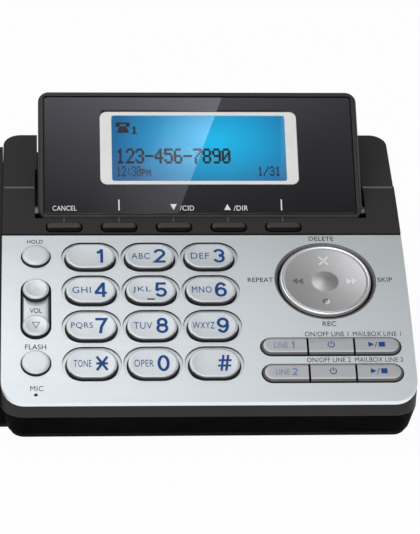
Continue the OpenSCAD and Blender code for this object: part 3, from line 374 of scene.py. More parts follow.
def loft(rings, place, material):
    """Closed skin through rings of equally many points; material(k, p) is that of ring k's face at p."""
    n, last = len(rings[0]), len(rings) - 1
    verts = [place @ Vector(p) for ring in rings for p in ring]
    faces, index = [], []
    for k in range(last):
        faces += quads(k * n, (k + 1) * n, n)
        index += [material(k, p) for p in rings[k]]
    for k, step in ((0, 0), (last, last - 1)):
        middle = sum((Vector(p) for p in rings[k]), Vector()) / n
        verts.append(place @ middle)
        for i, p in enumerate(rings[k]):
            a, b = k * n + i, k * n + (i + 1) % n
            faces.append((a, b, len(verts) - 1) if k else (b, a, len(verts) - 1))
            index.append(material(step, p))
    return verts, faces, index


def stadium(l, w, z, steps=24, upright=False):
    """Stadium ring, anticlockwise, with its straight part l along x, or along y if upright."""
    pts = []
    for side in (1, -1):
        for i in range(steps + 1):
            a = math.pi * (i / steps - 0.5) + (0 if side > 0 else math.pi)
            x = side * l / 2 + w / 2 * math.cos(a)
            y = w / 2 * math.sin(a)
            pts.append((-y, x, z) if upright else (x, y, z))
    return pts


def circle(r, z, y=0.0, steps=64):
    """Ring of a radius around (0, y), anticlockwise."""
    turns = [2 * math.pi * i / steps for i in range(steps)]
    return [(r * math.cos(a), y + r * math.sin(a), z) for a in turns]


def rounded(hl, hw, r, z, steps=6):
    """Ring of a rectangle of half sizes hl and hw with round corners, anticlockwise."""
    pts = []
    for sx, sy, start in ((1, 1, 0), (-1, 1, 90), (-1, -1, 180), (1, -1, 270)):
        for i in range(steps + 1):
            a = math.radians(start + 90 * i / steps)
            pts.append((sx * (hl - r) + r * math.cos(a), sy * (hw - r) + r * math.sin(a), z))
    return pts


def dial_keys():
    """Node, place (x and u), digit and letters of each dial key."""
    for n, (digit, letters) in enumerate(DIAL):
        node = "key_" + {"*": "star", "#": "pound"}.get(digit, digit)
        yield node, COLS[n % len(COLS)], ROWS[n // len(COLS)], digit, letters


def dial_key(node, x, u):
    """Dial key: dark skirt that is partly painted shade, a grey lip of painted shade that is wider along its
    long sides, and a dished top.
    """
    face, skirt, lip = range(3)
    profile = FLANGE + CAP + [(KEY_W / 2 - 0.4, CAP_MIDDLE)]
    rings = [stadium(KEY_L, KEY_W - 2 * i, z) for i, z in profile]

    def material(k, p):
        inset, z = profile[k + 1]
        # The grey lip puts painted shade on the cap's rounding, wider on its long sides.
        lip_inset = 0.35 if abs(p[1]) > KEY_W / 4 else 0.2
        return skirt if z < SKIRT_TOP else lip if inset < lip_inset else face

    ob = add_mesh(node + "_cap", node, ["key", "skirt", "lip"], *loft(rings, on_arch(x, u), material))
    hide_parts(node)


def well_painted_shades():
    """Near-black skins of painted shade on the walls of the dial keys' wells, from the panel's surface down
    to their floors.
    """
    below_panel = 0.01
    verts, faces = [], []
    for x in COLS:
        for u in ROWS:
            place = on_arch(x, u) @ Matrix.Translation((0, WELL_OFF, 0))
            ring = stadium(WELL_L, WELL_W - 2 * SKIN_LIFT, 0)
            start, n = len(verts), len(ring)
            verts += [place @ Vector((a, b, -sag(b + WELL_OFF) - below_panel)) for a, b, _ in ring]
            verts += [place @ Vector((a, b, SKIN_LIFT - WELL_DEEP)) for a, b, _ in ring]
            faces += quads(start, start + n, n)
    add_mesh("key_well_painted_shades", "base", ["well"], verts, faces)


def disc_collar():
    """Glossy skin on the message disc's collar: flat along the panel, then a cone to the disc."""
    place = on_arch(DISC_X, DISC_U)
    n = 128
    columns = []
    for i in range(n):
        c, s = math.cos(2 * math.pi * i / n), math.sin(2 * math.pi * i / n)
        top = COLLAR_TOP - sag(COLLAR_MID_R * s)
        lip = COLLAR_R + COLLAR_FLARE * (top - CONE_LOW)
        profile = [(COLLAR_OUT, top - 0.25), (COLLAR_OUT - 0.02, top - 0.03), (COLLAR_OUT - 0.08, top),
                   (lip + 0.05, top)]
        for part in (0.06, 0.3, 0.6, 1.0):
            z = top - part * (top - CONE_LOW)
            profile.append((COLLAR_R + COLLAR_FLARE * (z - CONE_LOW), z))
        profile.append((COLLAR_R, COLLAR_LOW))
        columns.append([place @ Vector((r * c, r * s, z)) for r, z in profile])
    rings = list(zip(*columns))
    verts = [p for ring in rings for p in ring]
    faces = [f for k in range(len(rings) - 1) for f in quads(k * n, (k + 1) * n, n)]
    add_mesh("message_disc_collar", "base", ["collar"], verts, faces, sharp=60)


def crease_highlights():
    """Light strip along the crease of each shoulder, a painted highlight where the deck turns down to the
    rear.
    """
    a = angle_at(CREASE_U - CREASE_R / 5)
    axis_r, r = ARCH_R - CREASE_R, CREASE_R + SKIN_LIFT
    y, z = ARCH_Y - axis_r * math.sin(a), ARCH_Z + axis_r * math.cos(a)
    turns = [math.radians(degrees) - a for degrees in range(3, 22, 3)]
    for side, ends in SHOULDERS.items():
        verts = [Vector((BASE_X + x, y + r * math.sin(turn), z + r * math.cos(turn))) * MM
                 for turn in turns for x in ends]
        add_mesh("crease_highlight_" + side, "base", ["edge"], verts, strip(len(turns)))


def round_skin(name, body, place, r, y, profile):
    """Round key or pad with a dark skirt that is partly painted shade."""
    face, skirt = range(2)
    rings = [circle(r - i, z, y) for i, z in profile]
    skin = loft(rings, place, lambda k, p: skirt if profile[k + 1][1] < SKIRT_TOP else face)
    ob = add_mesh(name, body, ["key", "skirt"], *skin)
    return ob


def round_key(node, u):
    ob = round_skin(node + "_cap", node, on_arch(SIDE_X, u), ROUND_R, 0, FLANGE + ROUND_CAP)
    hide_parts(node)


def rocker():
    """Volume rocker: a pill-shaped bridge that carries two round, dished pads."""
    face, skirt, lip = range(3)
    # Skirt at the foot, then lip bands of painted shade on the sides of the bridge's channel.
    bands = [skirt, skirt, lip, lip, face, face, face]
    place = on_arch(SIDE_X, ROCKER_U)
    rings = [stadium(ROCKER_L, ROCKER_W - 2 * i, z, upright=True) for i, z in BRIDGE]
    skin = loft(rings, place, lambda k, p: bands[k])
    ob = add_mesh("volume_rocker_bridge", "volume_rocker", ["key", "skirt", "lip"], *skin)
    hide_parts("volume_rocker")
    for name, y in (("down", -ROCKER_L / 2), ("up", ROCKER_L / 2)):
        round_skin("volume_rocker_pad_" + name, "volume_rocker", place, PAD_R, y, PAD)


def dish(r):
    """Height of the message disc's face at the radius r: a dish with a round knob in its middle."""
    below_rim, knob_foot_r, knob_rise, knob_round = 0.3, KNOB_R + 0.15, KNOB_H - 0.05, 1.15
    z = DISC_RISE - below_rim - DISC_DISH * (1 - (r / FACE_R) ** 2)
    return z + knob_rise * max(1 - (r / knob_foot_r) ** 2, 0) ** knob_round


def message_disc():
    """Revolved disc: flange, dark wall, bright half-round rim, dished face and knob."""
    face, wall, rim, side, knob = range(5)
    bulge_r, face_edge = DISC_R + 0.15, FACE_R - 0.2
    profile = [(HUB_R, HUB_LOW, wall), (HUB_R, DISC_FLANGE_LOW, wall),
               (DISC_FLANGE_R, DISC_FLANGE_LOW, wall), (DISC_FLANGE_R, DISC_FLANGE_TOP, wall),
               (DISC_R, DISC_FLANGE_TOP, wall), (DISC_R, -1.5, wall),
               (bulge_r, -1.15, wall), (bulge_r, -1.0, side), (DISC_R, -0.25, side)]
    rim_r, rim_steps = (DISC_R - FACE_R) / 2, 12
    for i in range(rim_steps + 1):
        a = math.pi * i / rim_steps
        profile.append((DISC_R - rim_r + rim_r * math.cos(a), DISC_RISE - rim_r + rim_r * math.sin(a), rim))
    profile += [(FACE_R - 0.05, -0.02, side), (face_edge, dish(face_edge), face)]
    steps = 44
    for i in range(1, steps):
        r = face_edge * (1 - i / steps)
        profile.append((r, dish(r), knob if r < KNOB_R else face))
    rings = [circle(r, z, steps=128) for r, z, _ in profile]
    skin = loft(rings, on_arch(DISC_X, DISC_U), lambda k, p: profile[k + 1][2])
    mats = ["disc", "skirt", "chrome", "disc_side", "knob"]
    ob = add_mesh("message_disc_face", "message_disc", mats, *skin, sharp=50)
    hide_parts("message_disc")


def line_ring(n, inset, z, steps=14):
    """Ring of the key n of a line row: round at the row's ends, square and bevelled at the slits."""
    step = LINE_L / 3
    r = LINE_W / 2 - inset
    end = LINE_L / 2 - LINE_W / 2
    cut = 0.2 * max(min(inset, 0.3), 0.0)
    x0 = -LINE_L / 2 + n * step + SLIT / 2 + cut
    x1 = -LINE_L / 2 + (n + 1) * step - SLIT / 2 - cut
    shares = [i / steps for i in range(steps + 1)]
    if n == 2:
        pts = [(end + r * math.sin(math.pi * k), -r * math.cos(math.pi * k), z) for k in shares]
    else:
        pts = [(x1, -r + 2 * r * k, z) for k in shares]
    if n == 0:
        pts += [(-end - r * math.sin(math.pi * k), r * math.cos(math.pi * k), z) for k in shares]
    else:
        pts += [(x0, r - 2 * r * k, z) for k in shares]
    return pts


def line_key(node, row, n):
    """Key of a line row: dark skirt, a grey side that is painted shade, and a light lip that is a painted
    highlight, along its front and the row's ends.
    """
    face, skirt, side, lip = range(4)
    skirt_top, side_top, lip_top = 0.4, 0.9, 1.0
    profile = FLANGE + LINE_CAP
    rings = [line_ring(n, i, z) for i, z in profile]

    def material(k, p):
        z = profile[k + 1][1]
        outer = p[1] < -LINE_W / 4 or abs(p[0]) > LINE_L / 2 - LINE_W / 4
        if z < skirt_top:
            return skirt
        return (side if z < side_top else lip) if outer and z < lip_top else face

    skin = loft(rings, on_arch(LINE_X, LINE_U[row]), material)
    ob = add_mesh(node + "_cap", node, ["line", "skirt", "line_side", "line_lip"], *skin)
    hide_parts(node)


def soft_key(node, n):
    """Soft key under the display: a rounded bar whose front and sides are near black as painted shade."""
    face, side = range(2)
    side_top, front_y = 0.7, -1.1
    rings = [rounded(SOFT_L / 2 - i, SOFT_W / 2 - i, max(1.6 - 0.8 * i, 0.15), z) for i, z in SOFT_CAP]
    # Faces low on the rounding, and those on the front, take the painted shade.
    skin = loft(rings, on_arch(SOFT_X + n * SOFT_PITCH, SOFT_U),
                lambda k, p: side if SOFT_CAP[k + 1][1] < side_top or p[1] < front_y else face)
    ob = add_mesh(node + "_cap", node, ["soft", "soft_painted_shade"], *skin)
    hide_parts(node)


# Lettering and signs: flat shapes in millimetres, as (points, faces)


def glyphs(text, weight=0.0, space=1.0):
    """Text in the built-in font, thickened by weight."""
    curve = bpy.data.curves.new("glyphs", "FONT")
    curve.body = text
    curve.offset = weight
    curve.space_character = space
    curve.resolution_u = 6
    ob = add_object("glyphs", curve)
    bpy.context.view_layer.update()
    me = bpy.data.meshes.new_from_object(ob.evaluated_get(bpy.context.evaluated_depsgraph_get()))
    pts = [(v.co.x, v.co.y) for v in me.vertices]
    faces = [tuple(p.vertices) for p in me.polygons]
    bpy.data.objects.remove(ob)
    bpy.data.curves.remove(curve)
    bpy.data.meshes.remove(me)
    return pts, faces


def fit(shape, w, h):
    """Shape scaled to the box w by h around the origin; w of None keeps the proportion."""
    pts, faces = shape
    x0, x1 = min(p[0] for p in pts), max(p[0] for p in pts)
    y0, y1 = min(p[1] for p in pts), max(p[1] for p in pts)
    sy = h / (y1 - y0)
    sx = w / (x1 - x0) if w else sy
    return [((x - (x0 + x1) / 2) * sx, (y - (y0 + y1) / 2) * sy) for x, y in pts], faces


def join(*shapes):
    """One shape of several, each with the place that it moves to."""
    pts, faces = [], []
    for shape, dx, dy in shapes:
        start = len(pts)
        pts += [(x + dx, y + dy) for x, y in shape[0]]
        faces += [tuple(i + start for i in f) for f in shape[1]]
    return pts, faces


def bar(w, h):
    return [(-w / 2, -h / 2), (w / 2, -h / 2), (w / 2, h / 2), (-w / 2, h / 2)], [(0, 1, 2, 3)]


def poly(*pts):
    return list(pts), [tuple(range(len(pts)))]


def turned(shape, degrees):
    c, s = math.cos(math.radians(degrees)), math.sin(math.radians(degrees))
    return [(c * x - s * y, s * x + c * y) for x, y in shape[0]], shape[1]


def ring_sign(r, t, a0, a1, steps=28):
    """Part of a ring of the thickness t, from a0 to a1 degrees."""
    pts = []
    for i in range(steps + 1):
        a = math.radians(a0 + (a1 - a0) * i / steps)
        pts += [(side * math.cos(a), side * math.sin(a)) for side in (r - t / 2, r + t / 2)]
    return pts, strip(steps + 1)


def arc(cx, cy, rx, ry, a0, a1, steps=18):
    """Points of an elliptic arc from a0 to a1 degrees."""
    turns = [math.radians(a0 + (a1 - a0) * i / steps) for i in range(steps + 1)]
    return [(cx + rx * math.cos(a), cy + ry * math.sin(a)) for a in turns]


def stroke(path, t):
    """Ribbon of the thickness t along a path, with mitred corners."""
    closed = math.dist(path[0], path[-1]) < 1e-6
    pts = []
    n = len(path)
    for i, (x, y) in enumerate(path):
        ax, ay = path[i - 1] if i else (path[-2] if closed else path[0])
        bx, by = path[i + 1] if i < n - 1 else (path[1] if closed else path[-1])
        d0, d1 = math.hypot(x - ax, y - ay), math.hypot(bx - x, by - y)
        n0 = ((ay - y) / d0, (x - ax) / d0) if d0 else None
        n1 = ((y - by) / d1, (bx - x) / d1) if d1 else None
        n0, n1 = n0 or n1, n1 or n0
        mx, my = n0[0] + n1[0], n0[1] + n1[1]
        k = t / max(mx * mx + my * my, 0.5)
        pts += [(x + mx * k, y + my * k), (x - mx * k, y - my * k)]
    return pts, strip(n)


def digit_sign(d, w=4.0, h=6.35, t=1.0):
    """A dial digit drawn with bold strokes, in a box of w by h."""
    a, b = (w - t) / 2, (h - t) / 2
    paths = {
        "0": [arc(0, 0, a, b, 90, 450, 40)],
        "1": [[(0.55, b + t / 2), (0.55, -b - t / 2)], [(-1.05, 1.5), (-0.35, 1.75), (0.3, 2.5)]],
        "2": [arc(0, b - a, a, a, 170, -25) + [(-a + 0.1, -b), (a + t / 2, -b)]],
        "3": [arc(0, b - 1.42, a - 0.1, 1.42, 165, -90), arc(0, -b + 1.55, a, 1.55, 90, -165)],
        "4": [[(a + t / 2, -1.35), (-a - t / 2, -1.35)], [(-a - 0.1, -1.1), (0.75, b + 0.1)],
              [(0.9, b + t / 2), (0.9, -b - t / 2)]],
        "5": [[(a + 0.2, b), (-a + 0.35, b), (-a + 0.1, 0.1)]
              + arc(0, -b + a + 0.05, a, a + 0.05, 140, -160)],
        "6": [arc(0, b - 1.9, a, 1.9, 25, 90, 8) + arc(0, 0, a, b, 90, 200, 14),
              arc(0, -b + a + 0.1, a, a + 0.1, 0, 360, 30)],
        "7": [[(-a - t / 2, b), (a, b), (a - 0.7, 1.3), (-0.05, -0.6), (-0.35, -b - t / 2)]],
        "8": [arc(0, b - 1.33, a - 0.2, 1.33, 0, 360, 28), arc(0, -b + 1.5, a, 1.5, 0, 360, 28)],
    }
    paths["9"] = [[(-x, -y) for x, y in path] for path in paths["6"]]
    return join(*[(stroke(path, t), 0, 0) for path in paths[d]])


def star_sign():
    return join(*[(turned(bar(0.85, length), degrees), 0, 0)
                  for degrees, length in ((33, 6.4), (-33, 6.4), (90, 3.8))])


def hash_sign(t=0.76):
    upright, level = turned(bar(t, 6.35), -8), bar(4.3, t)
    return join((upright, -0.78, 0), (upright, 0.78, 0), (level, 0.12, 1.05), (level, -0.12, -1.05))


def power_sign(t=0.32):
    return join((ring_sign(1.05, t, 122, 418), 0, 0), (bar(t, 1.35), 0, 0.75))


def play_sign(gap=1.75):
    return join((poly((-0.95, -1.0), (0.95, 0), (-0.95, 1.0)), -gap, 0),
                (turned(bar(0.25, 2.2), -18), -0.2, 0), (bar(2.1, 1.95), gap, 0))


def ink(name, shape, where, mat, body):
    """Print a flat shape on a surface: where(x, y) gives the point for each of its corners."""
    pts, faces = shape
    add_mesh(name, body, [mat], [where(x, y) for x, y in pts], faces, smooth=False)


def on_panel(x, u):
    """Spot on the arched panel."""
    return lambda a, b: arch(x + a, u + b, PRINT_LIFT) * MM


def on_top(x, u, dx, dy, z):
    """Spot (dx, dy) on a control at (x, u), at the height z, a number or a function of the place."""
    place = on_arch(x, u)
    return lambda a, b: place @ Vector((dx + a, dy + b, z(dx + a, dy + b) if callable(z) else z))


def on_screen(x, s, z):
    """Spot on the display, x from the base's middle, s up from the lower edge and z over the face."""
    place = on_display()
    return lambda a, b: place @ Vector((x - DISP_OFF + a, s + b, z))


def cap_height(x, y):
    """Height of the print on a dial key's top."""
    inset = KEY_W / 2 - math.hypot(max(abs(x) - KEY_L / 2, 0), y)
    for (i0, z0), (i1, z1) in zip(CAP, CAP[1:] + [(KEY_W / 2, 1.19)]):
        if i0 <= inset <= i1:
            return z0 + (z1 - z0) * (inset - i0) / (i1 - i0) + PRINT_LIFT
    return CAP_MIDDLE + PRINT_LIFT


def disc_height(x, y):
    """Height of the print on the message disc."""
    return dish(math.hypot(x, y)) + PRINT_LIFT


# Digit and letters of each dial key, by rows.
DIAL = [(text[0], text[1:])
        for text in "1 2ABC 3DEF 4GHI 5JKL 6MNO 7PQRS 8TUV 9WXYZ *TONE 0OPER #".split()]
LETTERS_W = {"PQRS": 7.1, "WXYZ": 7.3, "MNO": 6.6, "TONE": 5.8, "OPER": 6.3}

# Words on the panel: text, x, u, width and height.
PANEL_WORDS = [
    ("HOLD", -56.8, 33.05, 5.3, 1.75), ("FLASH", -56.6, -12.9, 6.9, 2.05), ("MIC", -56.2, -29.2, 4.3, 1.95),
    ("DELETE", 40.35, 34.3, 8.4, 1.95), ("REPEAT", 18.55, 15.25, 8.5, 2.0), ("SKIP", 60.5, 15.2, 4.95, 2.0),
    ("REC", 40.45, -3.8, 4.5, 1.95),
    ("ON/OFF LINE 1", 39.25, -8.05, 14.4, 1.9), ("MAILBOX LINE 1", 55.9, -8.05, 15.9, 1.9),
    ("ON/OFF LINE 2", 39.3, -18.5, 14.4, 1.85), ("MAILBOX LINE 2", 55.85, -18.5, 15.9, 1.85),
]

# Texts on the LCD: name, text, x, height over the display's lower edge, width, height and boldness.
LCD_TEXTS = [("number", "123-456-7890", -8.95, 24.05, 39.4, 5.9, 1.6),
             ("time", "12:30PM", -22.75, 18.05, 11.7, 3.9, 1.25),
             ("index", "1/31", 24.1, 18.15, 7.8, 3.7, 1.25), ("line", "1", -22.3, 34.2, 2.5, 3.0, 1.6)]

# Dot patterns, top row first, for the character display.
DOT_COLS, DOT_ROWS, DOT_TALL = 6, 7, 1.08
DOTS = {
    "0": ".###. #...# #..## #.#.# ##..# #...# .###.",
    "1": "..#.. .##.. ..#.. ..#.. ..#.. ..#.. .###.",
    "2": ".###. #...# ....# ...#. ..#.. .#... #####",
    "3": ".###. #...# ....# ..##. ....# #...# .###.",
    "4": "...#. ..##. .#.#. #..#. ##### ...#. ...#.",
    "5": "##### #.... ####. ....# ....# #...# .###.",
    "6": ".###. #.... #.... ####. #...# #...# .###.",
    "7": "##### ....# ...#. ..#.. .#... .#... .#...",
    "8": ".###. #...# #...# .###. #...# #...# .###.",
    "9": ".###. #...# #...# .#### ....# ....# .###.",
    "-": "..... ..... ..... ##### ..... ..... .....",
    ":": "..... ..#.. ..#.. ..... ..#.. ..#.. .....",
    "/": "....# ....# ...#. ..#.. .#... #.... #....",
    "P": "..... ..... ####. #...# ####. #.... #....",
    "M": "..... ..... #...# ##.## #.#.# #...# #...#",
}


def letter_keys():
    """Digits and letters on the dial keys, and the nub on the 5."""
    digit_x, letters_x, y, letters_h = 3.3, -3.05, -0.05, 2.75
    for node, x, u, digit, letters in dial_keys():
        shape = {"*": star_sign, "#": hash_sign}[digit]() if digit in "*#" else digit_sign(digit)
        ink(node + "_digit", shape, on_top(x, u, digit_x, y, cap_height), "blue_ink", node)
        if letters:
            shape = fit(glyphs(letters, 0.0, 1.1), LETTERS_W.get(letters, 6.1), letters_h)
            ink(node + "_letters", shape, on_top(x, u, letters_x, y, cap_height), "blue_ink", node)
    ink("key_5_nub", bar(2.5, 0.6), on_top(COLS[1], ROWS[1], -0.1, -4.2, cap_height), "grey_ink", "key_5")


def letter_panel():
    """Words on the panel, and a tick on the deck over each soft key."""
    for text, x, u, w, h in PANEL_WORDS:
        name = "print_" + "".join(c if c.isalnum() else "_" for c in text.lower())
        weight = 0.0 if "M" in text else 0.006
        ink(name, fit(glyphs(text, weight, 1.05), w, h), on_panel(x, u), "grey_ink", "base")
    for n in range(SOFT_COUNT):
        where = on_panel(SOFT_X + n * SOFT_PITCH, SOFT_U + 4.2)
        ink("deck_tick_%d" % (n + 1), bar(0.35, 3.2), where, "faint_ink", "base")


def letter_lines():
    """Legends on the keys of the two line rows."""
    for row, u in enumerate(LINE_U):
        k = str(row + 1)
        line = join((fit(glyphs("LINE"), 4.6, 2.1), -1.9, 0), (fit(digit_sign(k), None, 2.8), 2.0, 0.1))
        for kind, shape, x, y, mat in (("line", line, -14.6, 0.0, "pale_ink"),
                                       ("power", power_sign(), 0.05, 0.2, "blue_ink"),
                                       ("play", play_sign(), 15.05, 0.2, "blue_ink")):
            where = on_top(LINE_X, u, x, y, LINE_PRINT)
            ink("%s%s_legend" % (kind, k), shape, where, mat, "%s%s_key" % (kind, k))


def letter_rocker():
    """Word on the volume rocker's bridge, and a triangle on each pad."""
    word = fit(glyphs("VOL", 0.006), 4.0, 2.05)
    up = stroke([(-1.2, -0.8), (1.2, -0.8), (0, 0.9), (-1.2, -0.8)], 0.28)
    down = stroke([(1.2, 1.1), (-1.2, 1.1), (0, -1.3), (1.2, 1.1)], 0.28)
    for name, shape, y, z, mat in (("word", word, -0.1, BRIDGE_PRINT, "grey_ink"),
                                   ("up_sign", up, ROCKER_L / 2, PAD_PRINT, "white_ink"),
                                   ("down_sign", down, -ROCKER_L / 2, PAD_PRINT, "silicone")):
        ink("volume_" + name, shape, on_top(SIDE_X, ROCKER_U, 0, y, z), mat, "volume_rocker")


def letter_disc():
    """Signs on the message disc."""
    cross = join((turned(bar(0.6, 4.6), 42), 0, 0), (turned(bar(0.6, 4.6), -42), 0, 0))
    arrow = poly((0, -1.45), (0, 1.45), (1.85, 0))
    arrows = join((arrow, -1.85, 0), (arrow, 0, 0))
    # The record sign's ring: a dark arc of painted shade on its upper left, and a white arc of painted
    # highlight on its lower right.
    dark, light = ring_sign(0.85, 0.75, 50, 240), ring_sign(0.95, 0.6, -110, 40)
    for name, shape, x, y, mat in (("delete_sign", cross, 0, 9.0, "white_ink"),
                                   ("repeat_sign", turned(arrows, 180), -9.3, -0.1, "mid_ink"),
                                   ("skip_sign", arrows, 9.0, -0.1, "white_ink"),
                                   ("record_painted_shade", dark, -0.3, -9.1, "mid_ink"),
                                   ("record_painted_highlight", light, -0.3, -9.1, "white_ink")):
        ink("disc_" + name, shape, on_top(DISC_X, DISC_U, x, y, disc_height), mat, "message_disc")


def letter_lens():
    """Words, ticks and arrows along the lens's lower edge."""
    word_s, arrow_s, tick_s = 3.1, 3.5, 4.3

    def put(name, shape, x, s):
        ink("lens_" + name, shape, on_screen(x, s, LENS_PRINT), "white_ink", "display")

    put("cancel", fit(glyphs("CANCEL", 0.004, 1.05), 8.2, 1.9), -46.7, word_s)
    for n, x in enumerate((-28.1, 27.7)):
        put("tick_%d" % (n + 1), bar(0.45, 4.2), x, tick_s)
    arrow = poly((-1.15, -1.15), (1.15, -1.15), (0, 1.15))
    for x, turn, word, key in ((-9.4, 180, "/CID", "cid"), (9.1, 0, "/DIR", "dir")):
        put(key + "_arrow", turned(arrow, turn), x, arrow_s)
        put(key + "_word", fit(glyphs(word, 0.004, 1.05), 4.9, 1.95), x + 4.6, word_s)


def dot_text(text, w, h, bold):
    """Characters of square dots, in a box of w by h."""
    px, py = w / (DOT_COLS * len(text) - 1), h / DOT_ROWS
    dot = bar(px * bold, py * DOT_TALL)
    return join(*[(dot, (DOT_COLS * n + c + 0.5) * px - w / 2, h / 2 - (r + 0.5) * py)
                  for n, character in enumerate(text)
                  for r, line in enumerate(DOTS[character].split())
                  for c, mark in enumerate(line) if mark == "#"])


def letter_lcd():
    """Dots of the LCD: a number, the time, an index, and a phone sign with its line."""
    for name, text, x, s, w, h, bold in LCD_TEXTS:
        ink("lcd_" + name, dot_text(text, w, h, bold), on_screen(x, s, LCD_PRINT), "lcd_ink", "display")
    phone = join((bar(4.6, 0.9), 0, 1.7), (bar(1.4, 1.3), -1.75, 1.0), (bar(1.4, 1.3), 1.75, 1.0),
                 (poly((-2.2, -2.1), (2.2, -2.1), (1.3, 0.6), (-1.3, 0.6)), 0, 0))
    ink("lcd_phone", phone, on_screen(-26.3, 35.2, LCD_PRINT), "lcd_ink", "display")


# Finish of the carried-over nodes: their materials, and the widths of their bevels in millimetres

FINISH = {
    "bottom_case": "case", "top_housing": "housing", "faceplate": "silver", "charging_cradle": "cradle",
    "disc_pivot": "silicone", "display_shell": "display", "display_lens": "lens", "lcd_frame": "white",
    "lcd_window": "clear", "lcd_panel": "lcd", "backlight": "diffuser", "display_board": "board",
    "hinge_pins": "pin", "main_board": "board", "dome_switches": "steel", "radio_shield": "steel",
    "speaker": "speaker", "microphone": "steel", "line_sockets": "socket", "power_inlet": "socket",
    "charge_contacts": "gold", "rubber_feet": "rubber", "case_screws": "steel", "board_screws": "steel",
}
SOFTEN = {"bottom_case": 0.5, "top_housing": 0.45, "charging_cradle": 0.6, "display_shell": 0.5,
          "lcd_frame": 0.25, "faceplate": 0.5, "display_lens": 0.12, "line_sockets": 0.2,
          "power_inlet": 0.2}
# Share of the faceplate's bevel that its holes get.
HOLE_BEVEL = 0.08


def outer_edges(ob):
    """Mark the faceplate's outer edge for its full bevel, and its holes for a fine one."""
    group = bpy.data.node_groups.new("outer_edges", "GeometryNodeTree")
    for way in ("INPUT", "OUTPUT"):
        group.interface.new_socket("Geometry", in_out=way, socket_type="NodeSocketGeometry")
    source = group.nodes.new("NodeGroupInput").outputs[0]
    x, y, _ = split(group, group.nodes.new("GeometryNodeInputPosition").outputs[0])
    across = calc(group, "ABSOLUTE", calc(group, "SUBTRACT", x, BASE_X * MM))
    across = calc(group, "MAXIMUM", calc(group, "SUBTRACT", across, (BASE_W / 2 - CORNER) * MM), 0.0)
    along = calc(group, "MAXIMUM", calc(group, "SUBTRACT", (CORNER - BASE_D / 2) * MM, y), 0.0)
    squares = [calc(group, "POWER", side, 2.0) for side in (across, along)]
    away = calc(group, "SQRT", calc(group, "ADD", *squares))
    outside = calc(group, "GREATER_THAN", away, (CORNER - 0.1) * MM)
    angle = group.nodes.new("GeometryNodeInputMeshEdgeAngle").outputs["Unsigned Angle"]
    bent = calc(group, "GREATER_THAN", angle, math.radians(EDGE_ANGLE))
    weight = calc(group, "MULTIPLY", calc(group, "MAXIMUM", outside, HOLE_BEVEL), bent)
    store = add_node(group, "GeometryNodeStoreNamedAttribute",
                     Geometry=source, Name="bevel_weight_edge", Value=weight)
    store.domain = "EDGE"
    add_node(group, "NodeGroupOutput", store.outputs["Geometry"])
    ob.modifiers.new("outer_edges", "NODES").node_group = group


def soften(ob, width, weighted):
    """Small bevel on a node's sharp edges, weighted by outer_edges on the faceplate."""
    ob.modifiers.new("weld", "WELD").merge_threshold = 1e-6
    flat = ob.modifiers.new("flat", "DECIMATE")
    flat.decimate_type = "DISSOLVE"
    flat.angle_limit = math.radians(0.3)
    if weighted:
        outer_edges(ob)
    edge = ob.modifiers.new("edge", "BEVEL")
    edge.width = width * MM
    edge.segments = 3
    edge.limit_method = "WEIGHT" if weighted else "ANGLE"
    edge.angle_limit = math.radians(EDGE_ANGLE)
    ob.modifiers.new("normals", "WEIGHTED_NORMAL").keep_sharp = True


def finish_nodes():
    for name, mat in FINISH.items():
        ob = NODES[name]
        ob.data.materials.clear()
        ob.data.materials.append(MATS[mat])
        if name in SOFTEN:
            soften(ob, SOFTEN[name], name == "faceplate")


# Stage, in metres

# Light on the ceiling card, as (place on the card, level). The slant runs across the diagonal edge of the
# reflection on the display, which lies at DIAGONAL; depth runs from the card's front to its back.
CARD_X, CARD_Y, CARD_Z = (-0.6, 0.7), (-2.0, 0.8), 1.0
SLANT, DIAGONAL, DIAGONAL_END = -0.368, 0.1142, 0.1148
# Spans that the levels are given over.
LENS_Y, PANEL_Y = (-0.2, 0.1), (-1.0, 0.8)
LEFT_SPAN, NEAR_SPAN, RIGHT_SPAN = (-0.3, 0.3), (0.0, 0.3), (0.1, 0.3)
LENS_DEPTH = [(-0.2, 0.14), (-0.11, 0.16), (-0.065, 0.36), (-0.025, 0.64), (0.02, 0.85)]
LENS_LEFT = [(-0.3, 0.5), (0.0, 0.6), (DIAGONAL, 1.0)]
LENS_RIGHT = [(DIAGONAL_END, 0.46), (0.2, 0.28), (0.3, 0.25)]
LENS_EDGE = [(0.05, 0.0), (DIAGONAL, 0.38)]
WINDOW_DEPTH = [(-0.08, 0.0), (-0.057, 1.0), (-0.04, 0.8)]
WINDOW_LEFT = [(0.05, 0.2), (0.07, 0.35), (DIAGONAL, 1.0)]
WINDOW_PEAK_START, WINDOW_RIGHT = 0.077, 0.14
PANEL_SIDE = [(-0.6, 1.0), (0.0, 1.0), (0.16, 0.16), (0.7, 0.1)]
PANEL_DEPTH = [(-1.0, 1.0), (0.2, 1.0), (0.36, 0.75), (0.56, 0.42), (0.8, 0.25)]
FRONT_SIDE = [(-0.6, 1.0), (0.0, 1.0), (0.2, 0.8), (0.7, 0.7)]
LENS_GAIN, RIGHT_GAIN, RIGHT_FLOOR, WINDOW_GAIN, PANEL_GAIN, FRONT_GAIN = 2.6, 2.4, 0.1, 1.4, 2.2, 2.0
# Parts of the card: the display's window in x and depth, and where the panel's and the front's parts start.
WINDOW_X, WINDOW_Y, WINDOW_BLUR = (0.0205, 0.145), (-0.0885, -0.0385), 0.001
PANEL_START, FRONT_START = (-0.005, 0.03), (-0.14, -0.17)
LENS_TINT, PANEL_TINT = (0.95, 0.955, 1.1, 1), (0.985, 0.99, 1.02, 1)

# Camera fitted to the photo: focal length in pixels, place in millimetres from the arch's axis, and turns.
FOCAL, IMAGE_H, SENSOR = 2708.208, 534, 36
CAMERA_AT = (-54.853, -896.539, 806.554)
PITCH, YAW, ROLL = math.radians(30), 0.0624, -0.0021


